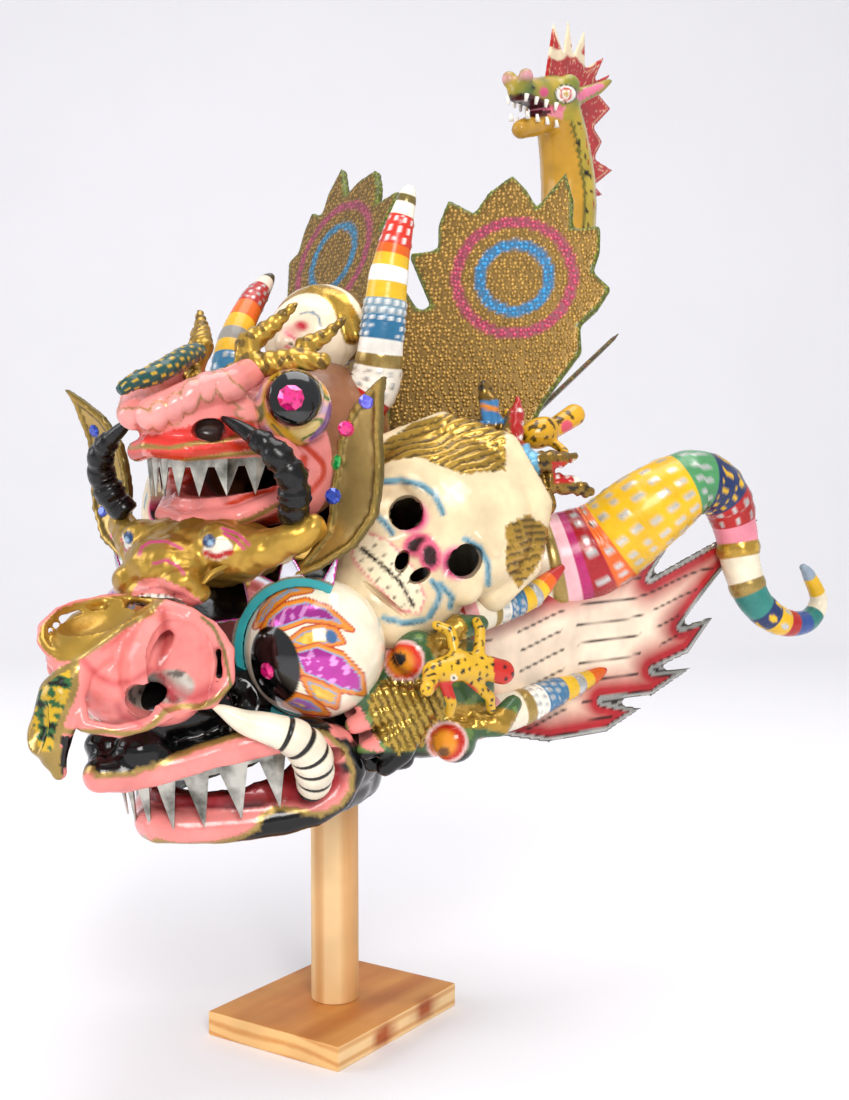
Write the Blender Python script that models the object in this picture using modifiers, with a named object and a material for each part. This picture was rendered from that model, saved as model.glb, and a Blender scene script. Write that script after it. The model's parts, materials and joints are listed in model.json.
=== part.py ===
"""Carnival devil mask on its wooden stand.

Metres, +Z up. The origin is the centre of the board's underside. The mask looks towards -Y and +X is
its left side, the side with the light on it. Places inside the soft forms are in millimetres.
"""

import math

import bmesh
import bpy
from mathutils import Euler, Matrix, Vector
from mathutils.bvhtree import BVHTree

MM = 0.001

BOARD_WIDTH = 0.127
BOARD_LENGTH = 0.159
BOARD_THICKNESS = 0.019
POLE_DIAMETER = 0.038
CROWN_HEIGHT = 0.480
MEASURED_CROWN = 0.480
SHELL_WALL = 0.007
FIT_GAP = 0.0003
BIG_EYE_RADIUS = 0.049
UPPER_EYE_RADIUS = 0.027
TIN_THICKNESS = 0.0016
EAR_THICKNESS = 0.004
PANEL_THICKNESS = 0.008
WING_THICKNESS = 0.003
CREST_THICKNESS = 0.003
LASH_LENGTH = 0.025
LID_WIDTH = 0.007
LID_ADVANCE = 0.020
LOWER_TOOTH_LENGTH = 0.036
LOWER_GUM = 0.008
UPPER_TOOTH_LENGTH = 0.020
UPPER_GUM = 0.011
SUN_RADIUS = 0.067
VOXEL = 0.0042
HOLLOW_SHARE = 0.5
SLIVER = 0.0002

CREAM = (0.86, 0.78, 0.60)
GOLD = (0.52, 0.38, 0.12)
PINK = (0.85, 0.36, 0.34)
RED = (0.55, 0.03, 0.02)
BLACK = (0.01, 0.01, 0.01)
PINE = (0.72, 0.46, 0.22)
TIN = (0.55, 0.55, 0.53)


def clear_scene():
    for thing in list(bpy.data.objects):
        bpy.data.objects.remove(thing, do_unlink=True)


def new_collection(name):
    collection = bpy.data.collections.new(name)
    bpy.context.scene.collection.children.link(collection)
    return collection


def paint(name, colour, roughness=0.35, metallic=0.0):
    material = bpy.data.materials.new(name)
    material.use_nodes = True
    shader = material.node_tree.nodes["Principled BSDF"]
    shader.inputs["Base Color"].default_value = (*colour, 1.0)
    shader.inputs["Roughness"].default_value = roughness
    shader.inputs["Metallic"].default_value = metallic
    return material


def mesh_object(name, mesh, collection, material):
    thing = bpy.data.objects.new(name, mesh)
    mesh.materials.clear()
    mesh.materials.append(material)
    collection.objects.link(thing)
    return thing


def from_bmesh(name, bm, collection, material):
    mesh = bpy.data.meshes.new(name)
    bm.to_mesh(mesh)
    bm.free()
    return mesh_object(name, mesh, collection, material)


def bake(thing):
    """Gives the object its evaluated mesh and takes its modifiers off."""
    graph = bpy.context.evaluated_depsgraph_get()
    graph.update()
    mesh = bpy.data.meshes.new_from_object(thing.evaluated_get(graph))
    thing.modifiers.clear()
    old = thing.data
    thing.data = mesh
    bpy.data.meshes.remove(old)
    return thing


def remesh(thing, voxel):
    modifier = thing.modifiers.new("Remesh", "REMESH")
    modifier.mode = "VOXEL"
    modifier.voxel_size = voxel
    modifier.adaptivity = 0.0
    return bake(thing)


def smooth(thing, times):
    modifier = thing.modifiers.new("Smooth", "SMOOTH")
    modifier.iterations = times
    modifier.factor = 0.5
    return bake(thing)


def thin_out(thing, faces):
    modifier = thing.modifiers.new("Decimate", "DECIMATE")
    now = sum(len(face.vertices) - 2 for face in thing.data.polygons)
    modifier.ratio = min(1.0, faces / now)
    modifier.use_collapse_triangulate = True
    return bake(thing)


def cut(thing, cutter):
    """Both are always closed, which MANIFOLD needs; EXACT leaves open edges on these soft forms."""
    modifier = thing.modifiers.new("Cut", "BOOLEAN")
    modifier.operation = "DIFFERENCE"
    modifier.solver = "MANIFOLD"
    modifier.object = cutter
    return bake(thing)


def islands(bm):
    """The bmesh's faces, grouped into pieces whose faces share edges."""
    left = set(bm.faces)
    groups = []
    while left:
        first = left.pop()
        group = [first]
        fresh = [first]
        while fresh:
            for edge in fresh.pop().edges:
                for face in edge.link_faces if len(edge.link_faces) == 2 else ():
                    if face in left:
                        left.discard(face)
                        group.append(face)
                        fresh.append(face)
        groups.append(group)
    return groups


def keep_largest(thing):
    bm = bmesh.new()
    bm.from_mesh(thing.data)
    groups = sorted(islands(bm), key=lambda group: sum(face.calc_area() for face in group))
    for group in groups[:-1]:
        bmesh.ops.delete(bm, geom=group, context="FACES")
    bmesh.ops.triangulate(bm, faces=bm.faces)
    bm.to_mesh(thing.data)
    bm.free()


def ball(bm, centre, radii, turn=(0, 0, 0), detail=12):
    """An ellipsoid: centre and radii in millimetres, turn in degrees."""
    place = (
        Matrix.Translation(Vector(centre) * MM)
        @ Euler([math.radians(angle) for angle in turn]).to_matrix().to_4x4()
        @ Matrix.Diagonal((*[radius * MM for radius in radii], 1.0))
    )
    bmesh.ops.create_uvsphere(bm, u_segments=2 * detail, v_segments=detail, radius=1.0, matrix=place)


def limb(bm, start, end, start_radius, end_radius, detail=12):
    """A tapered bar between two points, in millimetres."""
    start = Vector(start)
    end = Vector(end)
    way = end - start
    if way.length < 0.01:
        return
    place = Matrix.Translation((start + end) / 2 * MM) @ way.to_track_quat("Z", "Y").to_matrix().to_4x4()
    bmesh.ops.create_cone(
        bm,
        cap_ends=True,
        segments=detail,
        radius1=start_radius * MM,
        radius2=end_radius * MM,
        depth=way.length * MM,
        matrix=place,
    )


def chain(bm, points, radii):
    """Bars from point to point, with a ball at each, in millimetres."""
    if isinstance(radii, (int, float)):
        radii = [radii] * len(points)
    for point, radius in zip(points, radii):
        ball(bm, point, (radius, radius, radius), detail=8)
    for k in range(len(points) - 1):
        limb(bm, points[k], points[k + 1], radii[k], radii[k + 1])


def both_sides(points):
    return points, [(-x, y, z) for x, y, z in points]


def rounded_mesh(name, shapes, faces, collection, material, voxel, place):
    """The shapes that shapes(bm) adds, grown into one skin, softened and thinned out to about faces."""
    bm = bmesh.new()
    shapes(bm)
    if place:
        bmesh.ops.transform(bm, matrix=place, verts=bm.verts)
    form = from_bmesh(name, bm, collection, material)
    remesh(form, voxel)
    smooth(form, 2)
    thin_out(form, faces)
    return form


def soft_form(name, lumps, hollows, faces, collection, cutters, material, voxel=VOXEL, place=None):
    """One cast form: lumps(bm) adds its solid shapes, hollows(bm) the ones taken out of it.

    place puts a form that is modelled round its own origin where it belongs. A hollow form keeps a solid
    copy among the cutters, so that nothing fastened outside it is left standing in the hollow.
    """
    form = rounded_mesh(name, lumps, faces, collection, material, voxel, place)
    keep_largest(form)
    if hollows:
        solid = mesh_object(name + " solid", form.data.copy(), cutters, material)
        hollow = rounded_mesh(name + " hollow", hollows, HOLLOW_SHARE * faces, cutters, material, voxel, place)
        for cutter in (solid, hollow):
            hide_cutter(cutter)
        cut(form, hollow)
        keep_largest(form)
    return form


def hide_cutter(thing):
    thing.hide_render = True
    thing.display_type = "WIRE"


def smooth_path(points, steps):
    """Points along a Catmull-Rom curve through the given ones."""
    points = [Vector(point) for point in points]
    ends = [2 * points[0] - points[1], *points, 2 * points[-1] - points[-2]]
    path = []
    for k in range(1, len(ends) - 2):
        a, b, c, d = ends[k - 1 : k + 3]
        for step in range(steps):
            t = step / steps
            path.append(
                0.5
                * (2 * b + (c - a) * t + (2 * a - 5 * b + 4 * c - d) * t * t + (3 * b - a - 3 * c + d) * t * t * t)
            )
    path.append(points[-1])
    return path


def horn(name, points, collection, material, steps=3, sides=8):
    """A tapering horn: each point is x, y, z and radius in millimetres."""
    curve = bpy.data.curves.new(name, "CURVE")
    curve.dimensions = "3D"
    curve.bevel_depth = 1.0
    curve.bevel_resolution = sides // 2 - 2
    curve.use_fill_caps = True
    path = smooth_path([Vector(point) for point in points], steps)
    spline = curve.splines.new("POLY")
    spline.points.add(len(path) - 1)
    for spot, point in zip(spline.points, path):
        spot.co = (point[0] * MM, point[1] * MM, point[2] * MM, 1.0)
        spot.radius = max(point[3], 0.8) * MM
    guide = bpy.data.objects.new(name + " guide", curve)
    bpy.context.scene.collection.objects.link(guide)
    graph = bpy.context.evaluated_depsgraph_get()
    graph.update()
    mesh = bpy.data.meshes.new_from_object(guide.evaluated_get(graph))
    bpy.data.objects.remove(guide, do_unlink=True)
    bm = bmesh.new()
    bm.from_mesh(mesh)
    bmesh.ops.remove_doubles(bm, verts=bm.verts, dist=1e-6)
    bmesh.ops.recalc_face_normals(bm, faces=bm.faces)
    bm.to_mesh(mesh)
    bm.free()
    mesh.shade_smooth()
    return mesh_object(name, mesh, collection, material)


def plate(name, outline, thickness, place, collection, material, bend=None, spacing=None):
    """A flat outline of points (across, up) in millimetres, made thick and put in place.

    bend(point) moves each point of the sheet, after cuts that lie spacing apart give it joints to bend at.
    """
    bm = bmesh.new()
    verts = [bm.verts.new((x * MM, 0.0, z * MM)) for x, z in outline]
    bm.faces.new(verts)
    bm.normal_update()
    bmesh.ops.triangulate(bm, faces=bm.faces, ngon_method="EAR_CLIP")
    if bend:
        for axis in (0, 2):
            low = min(vert.co[axis] for vert in bm.verts)
            high = max(vert.co[axis] for vert in bm.verts)
            cuts = max(2, round((high - low) / (spacing * MM)))
            normal = Vector((1, 0, 0)) if axis == 0 else Vector((0, 0, 1))
            for k in range(1, cuts):
                level = low + (high - low) * k / cuts
                geometry = [*bm.verts, *bm.edges, *bm.faces]
                bmesh.ops.bisect_plane(bm, geom=geometry, dist=1e-5, plane_co=normal * level, plane_no=normal)
            bmesh.ops.remove_doubles(bm, verts=bm.verts, dist=5e-4)
        bmesh.ops.triangulate(bm, faces=bm.faces)
        for vert in bm.verts:
            vert.co = bend(vert.co)
    bmesh.ops.recalc_face_normals(bm, faces=bm.faces)
    bmesh.ops.transform(bm, matrix=place, verts=bm.verts)
    sheet = from_bmesh(name, bm, collection, material)
    modifier = sheet.modifiers.new("Thickness", "SOLIDIFY")
    modifier.thickness = thickness
    modifier.offset = 0.0
    modifier.use_even_offset = False
    return bake(sheet)


def strip(name, rails, thickness, collection, material):
    """A sheet between two rows of points in millimetres, made thick."""
    bm = bmesh.new()
    rows = [[bm.verts.new(Vector(point) * MM) for point in rail] for rail in rails]
    for k in range(len(rows[0]) - 1):
        bm.faces.new((rows[0][k], rows[0][k + 1], rows[1][k + 1], rows[1][k]))
    bmesh.ops.triangulate(bm, faces=bm.faces)
    sheet = from_bmesh(name, bm, collection, material)
    modifier = sheet.modifiers.new("Thickness", "SOLIDIFY")
    modifier.thickness = thickness
    modifier.offset = 0.0
    return bake(sheet)


def facing(centre, normal, up):
    """The placement of a form modelled round the origin that looks along -Y with +Z up."""
    back = -Vector(normal).normalized()
    side = back.cross(Vector(up)).normalized()
    top = side.cross(back)
    turn = Matrix((side, back, top)).transposed().to_4x4()
    return Matrix.Translation(Vector(centre) * MM) @ turn


def mirrored(name, thing, collection):
    """The same piece on the mask's other side."""
    bm = bmesh.new()
    bm.from_mesh(thing.data)
    bmesh.ops.scale(bm, vec=(-1, 1, 1), verts=bm.verts)
    bmesh.ops.reverse_faces(bm, faces=bm.faces)
    return from_bmesh(name, bm, collection, thing.data.materials[0])


def grown_copy(thing, gap, cutters):
    """A copy of the piece with its surface moved out by the gap, to cut its neighbours with."""
    bm = bmesh.new()
    bm.from_mesh(thing.data)
    bm.normal_update()
    moves = []
    for vert in bm.verts:
        flattest = min((face.normal.dot(vert.normal) for face in vert.link_faces), default=1.0)
        moves.append(vert.normal * gap / max(flattest, 0.35))
    for vert, move in zip(bm.verts, moves):
        vert.co += move
    copy = from_bmesh(thing.name + " grown", bm, cutters, thing.data.materials[0])
    hide_cutter(copy)
    return copy


def bounds(thing):
    points = [vert.co for vert in thing.data.vertices]
    low = Vector([min(point[axis] for point in points) for axis in range(3)])
    high = Vector([max(point[axis] for point in points) for axis in range(3)])
    return low, high


def boxes_meet(first, second):
    (low, high), (other_low, other_high) = bounds(first), bounds(second)
    return all(low[k] <= other_high[k] and other_low[k] <= high[k] for k in range(3))


def surfaces_meet(first, second):
    trees = []
    for thing in (first, second):
        verts = [vert.co for vert in thing.data.vertices]
        trees.append(BVHTree.FromPolygons(verts, [tuple(face.vertices) for face in thing.data.polygons]))
    return bool(trees[0].overlap(trees[1]))


def merge_flat_faces(thing):
    """Cuts leave many slivers in one plane; this makes each such patch one face again."""
    for sliver in (SLIVER, 0.1 * SLIVER, 0.0):
        bm = bmesh.new()
        bm.from_mesh(thing.data)
        if sliver:
            bmesh.ops.remove_doubles(bm, verts=bm.verts, dist=sliver)
            bmesh.ops.dissolve_degenerate(bm, edges=bm.edges, dist=sliver)
        bmesh.ops.dissolve_limit(bm, angle_limit=math.radians(0.2), verts=bm.verts, edges=bm.edges)
        bmesh.ops.triangulate(bm, faces=bm.faces)
        closed = all(len(edge.link_faces) == 2 for edge in bm.edges)
        if closed:
            bm.to_mesh(thing.data)
        bm.free()
        if closed:
            return


def give_way(piece, grown):
    """Cuts the piece back from a grown copy of a neighbour, if they meet.

    The exact solver leaves slivers across such grazing cuts, so this uses the manifold one.
    """
    if boxes_meet(piece, grown) and surfaces_meet(piece, grown):
        cut(piece, grown)
        keep_largest(piece)


def fit_together(pieces, cutters):
    """Each piece gives way to those before it in the list, with a small gap between them."""
    fitted = []
    for piece in pieces:
        for other, own, solid in fitted:
            give_way(piece, own if "teeth" in piece.name else solid)
            give_way(piece, other)
        merge_flat_faces(piece)
        keep_largest(piece)
        piece.data.shade_smooth()
        piece.data.set_sharp_from_angle(angle=math.radians(40))
        own = grown_copy(piece, FIT_GAP, cutters)
        solid = bpy.data.objects.get(piece.name.replace("_right", "_left") + " solid")
        if solid and "_right" in piece.name:
            solid = mirrored(piece.name + " solid", solid, cutters)
            hide_cutter(solid)
        fitted.append((piece, own, grown_copy(solid, FIT_GAP, cutters) if solid else own))


def make_stand(collection):
    bpy.ops.mesh.primitive_cube_add(size=1.0)
    board = bpy.context.object
    board.name = "stand_board"
    board.scale = (BOARD_WIDTH, BOARD_LENGTH, BOARD_THICKNESS)
    board.location = (0.0, 0.0, BOARD_THICKNESS / 2)
    pole_top = CROWN_HEIGHT - SHELL_WALL - FIT_GAP
    pole_foot = BOARD_THICKNESS + FIT_GAP
    bpy.ops.mesh.primitive_cylinder_add(
        vertices=24,
        radius=POLE_DIAMETER / 2,
        depth=pole_top - pole_foot,
        location=(0.0, 0.0, (pole_top + pole_foot) / 2),
    )
    pole = bpy.context.object
    pole.name = "stand_pole"
    pine = paint("pine", PINE, 0.5)
    for piece in (board, pole):
        bpy.context.view_layer.update()
        piece.data.transform(piece.matrix_world)
        piece.matrix_world = Matrix.Identity(4)
        piece.data.materials.append(pine)
        for old in list(piece.users_collection):
            old.objects.unlink(piece)
        collection.objects.link(piece)
    return board, pole


CRANIUM = (0, 30, 1000 * CROWN_HEIGHT - 150)
CRANIUM_RADII = (100, 135, 150)
LIP_LINE = [
    (0, -249, 243),
    (10, -236, 242),
    (31, -211, 246),
    (55, -188, 255),
    (76, -168, 262),
    (88, -144, 263),
    (93, -118, 252),
    (91, -101, 232),
    (86, -110, 214),
    (76, -124, 205),
    (62, -140, 201),
    (46, -157, 198),
    (29, -174, 197),
    (12, -190, 198),
    (0, -196, 198),
]


def head_lumps(bm):
    ball(bm, CRANIUM, CRANIUM_RADII, detail=20)
    ball(bm, (0, -60, 332), (84, 84, 66))
    ball(bm, (0, -136, 279), (56, 102, 32), detail=16)
    ball(bm, (0, -84, 214), (82, 100, 42), detail=16)
    for side in (-1, 1):
        ball(bm, (side * 68, -84, 248), (28, 48, 42))
        ball(bm, (side * 14, -226, 258), (17, 18, 13))
    for lip in both_sides(LIP_LINE):
        chain(bm, lip, 12)


def head_hollows(bm):
    wall = SHELL_WALL / MM
    ball(bm, CRANIUM, [radius - wall for radius in CRANIUM_RADII], detail=20)
    ball(bm, (0, -60, 332), (84 - wall, 84 - wall, 66 - wall))
    ball(bm, (0, -130, 277), (47 - wall, 94 - wall, 32 - wall), detail=16)
    ball(bm, (0, -76, 198), (82 - wall, 98 - wall, 66), detail=16)
    ball(bm, (0, 74, 168), (165, 118, 70), detail=16)
    ball(bm, (0, -172, 236), (170, 66, 17), turn=(13, 0, 0), detail=16)
    for side in (-1, 1):
        recess = [(side * 50, -165, 298), (side * 54, -166, 285), (side * 62, -162, 277), (side * 74, -154, 275)]
        chain(bm, recess, [12, 12, 10, 8])


NOSE_RIM = [
    (15, -213, 350),
    (12, -246, 335),
    (5, -270, 318),
    (8, -274, 296),
    (14, -276, 281),
    (30, -261, 276),
    (40, -246, 280),
    (50, -226, 290),
    (58, -206, 290),
    (62, -194, 303),
    (60, -192, 323),
    (54, -199, 337),
    (44, -212, 348),
    (30, -219, 352),
    (15, -213, 350),
]


DISH_RIM = [
    (5, -272, 320),
    (-6, -277, 321),
    (-14, -280, 327),
    (-20, -279, 332),
    (-26, -272, 340),
    (-31, -255, 348),
    (-31, -232, 352),
    (-24, -211, 354),
    (-6, -204, 354),
    (15, -208, 352),
    (20, -248, 339),
    (14, -261, 330),
    (5, -272, 320),
]


def nose_lumps(bm):
    """Two flared wings, a gilt dish on top that rises to the far side, and a leaf hanging at the tip."""
    ball(bm, (0, -222, 304), (30, 40, 34))
    for side in (-1, 1):
        ball(bm, (side * 30, -218, 311), (32, 38, 38), turn=(0, side * 8, side * 20))
    for rim in both_sides(NOSE_RIM):
        chain(bm, rim, 4.5)
    ball(bm, (-7, -246, 330), (26, 36, 18), turn=(24, 12, 0))
    chain(bm, DISH_RIM, 3.5)
    chain(bm, [(0, -264, 318), (-3, -278, 298), (-5, -287, 272), (0, -284, 251)], [10, 15, 14, 5])


def nose_hollows(bm):
    for side in (-1, 1):
        ball(bm, (side * 60, -230, 318), (27, 27, 36))
        chain(bm, [(side * 28, -218, 341), (side * 34, -227, 325), (side * 38, -237, 307)], 6.5)
        chain(bm, [(side * 46, -264, 297), (side * 30, -240, 293), (side * 14, -196, 298)], 11)
        ball(bm, (side * 27, -279, 302), (13, 18, 15))
    ball(bm, (-7, -243, 352), (24, 33, 19), turn=(24, 12, 0))
    ball(bm, (-3, -311, 286), (11, 21, 28))


def mid_face_lumps(bm):
    ball(bm, (0, -150, 384), (66, 42, 26))
    ball(bm, (0, -182, 376), (34, 30, 22))
    ball(bm, (0, -190, 358), (40, 20, 12))
    for side in (-1, 1):
        ball(bm, (side * 36, -172, 393), (15, 14, 13))
        ball(bm, (side * 22, -196, 366), (16, 14, 12))
        chain(bm, [(side * 50, -160, 382), (side * 76, -148, 393), (side * 90, -140, 401)], [15, 12, 10])


def mid_face_hollows(bm):
    ball(bm, (0, -204, 352), (34, 12, 4))


def tooth_row(path, lengths, gum, lean, spread=0.7):
    """Rails of a strip with one pointed tooth per length, hanging from a path of points.

    gum is the height of the band that the teeth are cut from, lean how far they slope back per unit of
    height, and spread the share of each space that a tooth fills.
    """
    rails = ([], [])
    path = [Vector(point) for point in path]
    for k, length in enumerate(lengths):
        start = path[k]
        end = path[k + 1]
        for share, drop in ((0.0, gum), ((1 - spread) / 2, gum), (0.5, length), ((1 + spread) / 2, gum)):
            spot = start.lerp(end, share)
            rails[0].append(spot)
            rails[1].append(spot - Vector((0, -lean * drop, drop)))
    rails[0].append(path[-1])
    rails[1].append(path[-1] - Vector((0, -lean * gum, gum)))
    return rails


LOWER_TOOTH_PATH = [
    (-8, -214, 240),
    (8, -212, 240),
    (26, -205, 242),
    (45, -192, 246),
    (64, -174, 253),
    (80, -154, 259),
]


def make_lower_teeth(name, path, collection, tin):
    """Folded tin points under the upper lip."""
    gum = LOWER_GUM / MM
    row = tooth_row(path, [LOWER_TOOTH_LENGTH / MM + gum] * (len(path) - 1), gum, 0.22)
    return strip(name, row, TIN_THICKNESS, collection, tin)


def make_upper_teeth(collection, tin):
    gum = UPPER_GUM / MM
    half = [(48, -136, 455), (40, -154, 454), (28, -172, 453), (16, -182, 453), (5, -187, 453)]
    path = half + [(-x, y, z) for x, y, z in reversed(half)]
    row = tooth_row(path, [UPPER_TOOTH_LENGTH / MM + gum] * (len(path) - 1), gum, 0.0, 0.76)
    return strip("upper_teeth", row, TIN_THICKNESS, collection, tin)


def make_big_eye(collection, material):
    bm = bmesh.new()
    radius = BIG_EYE_RADIUS / MM
    ball(bm, BIG_EYE, (radius, radius, radius), turn=(70, 0, 0), detail=8)
    return from_bmesh("big_eye_left", bm, collection, material)


def make_upper_eye(collection, material):
    bm = bmesh.new()
    radius = UPPER_EYE_RADIUS / MM
    ball(bm, UPPER_EYE, (radius, radius, radius), turn=(70, 0, 0), detail=6)
    return from_bmesh("upper_eye_left", bm, collection, material)


BIG_EYE = (74, -118, 317)
EYE_LID_NORMAL = (0.28, -0.95, -0.05)
UPPER_EYE = (55, -117, 483)


LID_START = -95
LID_END = -296
LASHES = [(-194, 24), (-233, 29), (-261, 22), (-291, 10)]


def lid_outline():
    """The lid band hugs the bulb from below round its inner side to the top, with four points on it.

    Each lash is the direction of its point and the width of its root, both in degrees.
    """
    inner = math.sqrt(BIG_EYE_RADIUS**2 - LID_ADVANCE**2) / MM + 0.5
    outer = inner + LID_WIDTH / MM
    tip = outer + LASH_LENGTH / MM
    marks = [(LID_START, outer)]
    for turn, width in LASHES:
        marks += [(turn + width / 2, outer), (turn, tip), (turn - width / 2, outer)]
    marks.append((LID_END, outer))
    for k in range(15, 0, -1):
        marks.insert(1, (LID_START + (LASHES[0][0] + LASHES[0][1] / 2 - LID_START) * k / 16, outer))
    marks += [(LID_END + (LID_START - LID_END) * k / 20, inner) for k in range(21)]
    return [(reach * math.cos(math.radians(turn)), reach * math.sin(math.radians(turn))) for turn, reach in marks]


def make_lashes(collection, material):
    middle = Vector(BIG_EYE) + Vector(EYE_LID_NORMAL).normalized() * LID_ADVANCE / MM
    place = facing(middle, EYE_LID_NORMAL, (0, 0, 1))
    return plate("eye_lashes_left", lid_outline(), TIN_THICKNESS, place, collection, material)


def make_gold_brow(collection, gold):
    """A gilt ribbon standing out over the bulb like a small awning."""
    arc = [(38, -193, 365), (42, -186, 373), (50, -168, 379), (62, -150, 381), (76, -132, 378), (82, -124, 372)]
    path = smooth_path(arc, 2)
    back = [point + Vector((2, 20, 7)) for point in path]
    return strip("gold_brow_left", (path, back), 2 * TIN_THICKNESS, collection, gold)


EAR_OUTLINE = [
    (60, 372),
    (78, 379),
    (93, 400),
    (95, 428),
    (102, 460),
    (116, 480),
    (132, 492),
    (149, 502),
    (143, 488),
    (137, 462),
    (136, 432),
    (133, 410),
    (119, 389),
    (94, 374),
    (72, 366),
]


def make_ear(collection, gold):
    def curl(point):
        """The crescent leans out from the head and its two ends come forward."""
        rise = (point.z - 0.435) / 0.065
        return Vector((point.x, 0.010 - 0.014 * rise * rise, point.z))

    place = Matrix.Translation((0, -0.134, 0))
    return plate("gold_ear_left", EAR_OUTLINE, EAR_THICKNESS, place, collection, gold, curl, 70)


def upper_head_lumps(bm):
    ball(bm, (0, -46, 470), (70, 74, 56), detail=16)
    ball(bm, (0, -138, 474), (40, 68, 24), detail=14)
    ball(bm, (0, -104, 418), (50, 58, 20))
    for side in (-1, 1):
        ball(bm, (side * 46, -94, 444), (24, 34, 38))
        chain(bm, [(side * 8, -206, 478), (side * 24, -186, 490), (side * 34, -158, 499), (side * 28, -130, 508)], 11)
    lips = [(0, -200, 456), (22, -190, 453), (40, -164, 455), (56, -132, 457), (61, -108, 440), (52, -124, 420)]
    for lip in both_sides([*lips, (34, -152, 408), (0, -166, 404)]):
        chain(bm, lip, 7.5)


def upper_head_hollows(bm):
    ball(bm, (0, -60, 462), (58, 64, 42), detail=14)
    ball(bm, (0, -100, 436), (46, 60, 24))
    ball(bm, (0, -150, 433), (88, 58, 11), turn=(10, 0, 0), detail=14)
    ball(bm, (0, -30, 420), (50, 50, 30))
    for side in (-1, 1):
        ball(bm, (side * 38, -178, 467), (20, 13, 8))


def third_face_lumps(bm):
    ball(bm, (2, -34, 536), (36, 28, 36))
    ball(bm, (2, -18, 548), (44, 26, 34))
    chain(bm, [(-38, -28, 528), (-22, -28, 562), (2, -26, 574), (26, -28, 566), (44, -30, 540)], [5, 6, 7, 6, 5])
    ball(bm, (2, -60, 534), (8, 8, 9))


def make_brow_leaf(collection, gold):
    """Two upright gilt leaves rooted over the eye, and a low one on the nose side."""

    def lumps(bm):
        chain(bm, [(14, -142, 504), (30, -130, 512), (52, -112, 516), (66, -98, 516)], [7, 9, 9, 6])
        chain(bm, [(26, -132, 512), (22, -126, 528), (34, -112, 542), (45, -102, 556)], [9, 9, 6, 2.5])
        chain(bm, [(52, -108, 514), (52, -100, 526), (62, -88, 535), (71, -80, 546)], [8, 8, 5, 2.5])

    return soft_form("brow_leaf_left", lumps, None, 70, collection, None, gold, voxel=0.0025)


NEAR_TEETH = [(-45, 82), (-4, 81), (33, 86), (65, 103), (90, 92), (126, 89), (163, 88)]
NEAR_FOOT = [(-65, -19), (-75, -22), (-88, -1), (-97, -50), (-99, -140), (-66, -196), (-14, -196), (28, -100)]
FAR_TEETH = [(14, 104), (38, 95), (72, 89), (108, 102), (137, 84), (173, 78)]
FAR_FOOT = [(-60, -31), (-66, -100), (-30, -200), (20, -220), (60, -220), (90, -120), (104, -43)]


def sun_outline(teeth, foot):
    """The disc's edge from lower right round the top to the left, then the foot; teeth are (degrees, reach).

    Every tooth points upwards, with its long rounded side below it and its short side above.
    """
    root = SUN_RADIUS / MM
    edge = []
    for k, (angle, reach) in enumerate(teeth):
        edge.append((angle, reach))
        if k + 1 < len(teeth):
            after, next_reach = teeth[k + 1]
            gap = after - angle
            if angle + after < 180:
                edge.append((angle + 0.3 * gap, root))
                edge.append((angle + 0.65 * gap, (root + next_reach) / 2))
            else:
                edge.append((angle + 0.4 * gap, (root + reach) / 2))
                edge.append((after - 0.25 * gap, root))
    ring = [(reach * math.cos(math.radians(angle)), reach * math.sin(math.radians(angle))) for angle, reach in edge]
    return ring + foot


def make_sun_panel(name, centre, azimuth, lean, outline, collection, gold):
    """azimuth turns the panel's face towards +X and lean tips it back, both in degrees."""
    turn = Matrix.Rotation(math.radians(azimuth), 4, "Z") @ Matrix.Rotation(math.radians(-lean), 4, "X")
    place = Matrix.Translation(Vector(centre) * MM) @ turn
    return plate(name, outline, PANEL_THICKNESS, place, collection, gold)


DRAGON_NECK = [
    (0, 130, 448, 26),
    (0, 205, 480, 26),
    (0, 285, 516, 27),
    (0, 340, 572, 27),
    (0, 374, 636, 28),
    (0, 386, 700, 28),
    (0, 378, 748, 26),
    (0, 364, 784, 23),
]


def dragon_lumps(bm):
    path = smooth_path(DRAGON_NECK, 2)
    chain(bm, [point[:3] for point in path], [point[3] for point in path])
    ball(bm, (0, 356, 798), (24, 30, 22))
    chain(bm, [(0, 350, 800), (0, 318, 796), (0, 290, 792)], [20, 15, 13])
    chain(bm, [(0, 350, 784), (0, 316, 766), (0, 290, 757)], [16, 11, 9])
    for side in (-1, 1):
        ball(bm, (side * 18, 352, 808), (10, 11, 11))
        ball(bm, (side * 9, 284, 803), (7, 8, 8))
        chain(bm, [(side * 18, 376, 804), (side * 26, 398, 814), (side * 30, 414, 824)], [8, 6, 3])


def dragon_hollows(bm):
    ball(bm, (0, 288, 776), (30, 34, 7), turn=(10, 0, 0))


CREST_TIPS = [(352, 871), (382, 881), (416, 879), (461, 863), (478, 850), (476, 813), (457, 776), (482, 751)]
CREST_ROOTS = [(402, 716), (394, 748), (380, 774), (362, 796), (340, 800)]


def make_crest(collection, red):
    """Points cut from one sheet that follows the back of the dragon's head and neck; y and z of each tip."""
    tips = [Vector(tip) for tip in [*CREST_TIPS, (459, 722)]]
    outline = [Vector((336, 814))]
    for k, tip in enumerate(tips):
        outline.append(tip)
        after = tips[min(k + 1, len(tips) - 1)]
        middle = (tip + after) / 2
        hub = Vector((380, 790)) if middle.y > 840 else Vector((385, middle.y - 22))
        outline.append(middle.lerp(hub, 0.36))
    outline += [Vector(root) for root in CREST_ROOTS]
    place = Matrix.Rotation(math.radians(90), 4, "Z")
    return plate("dragon_crest", outline, CREST_THICKNESS, place, collection, red)


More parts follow.
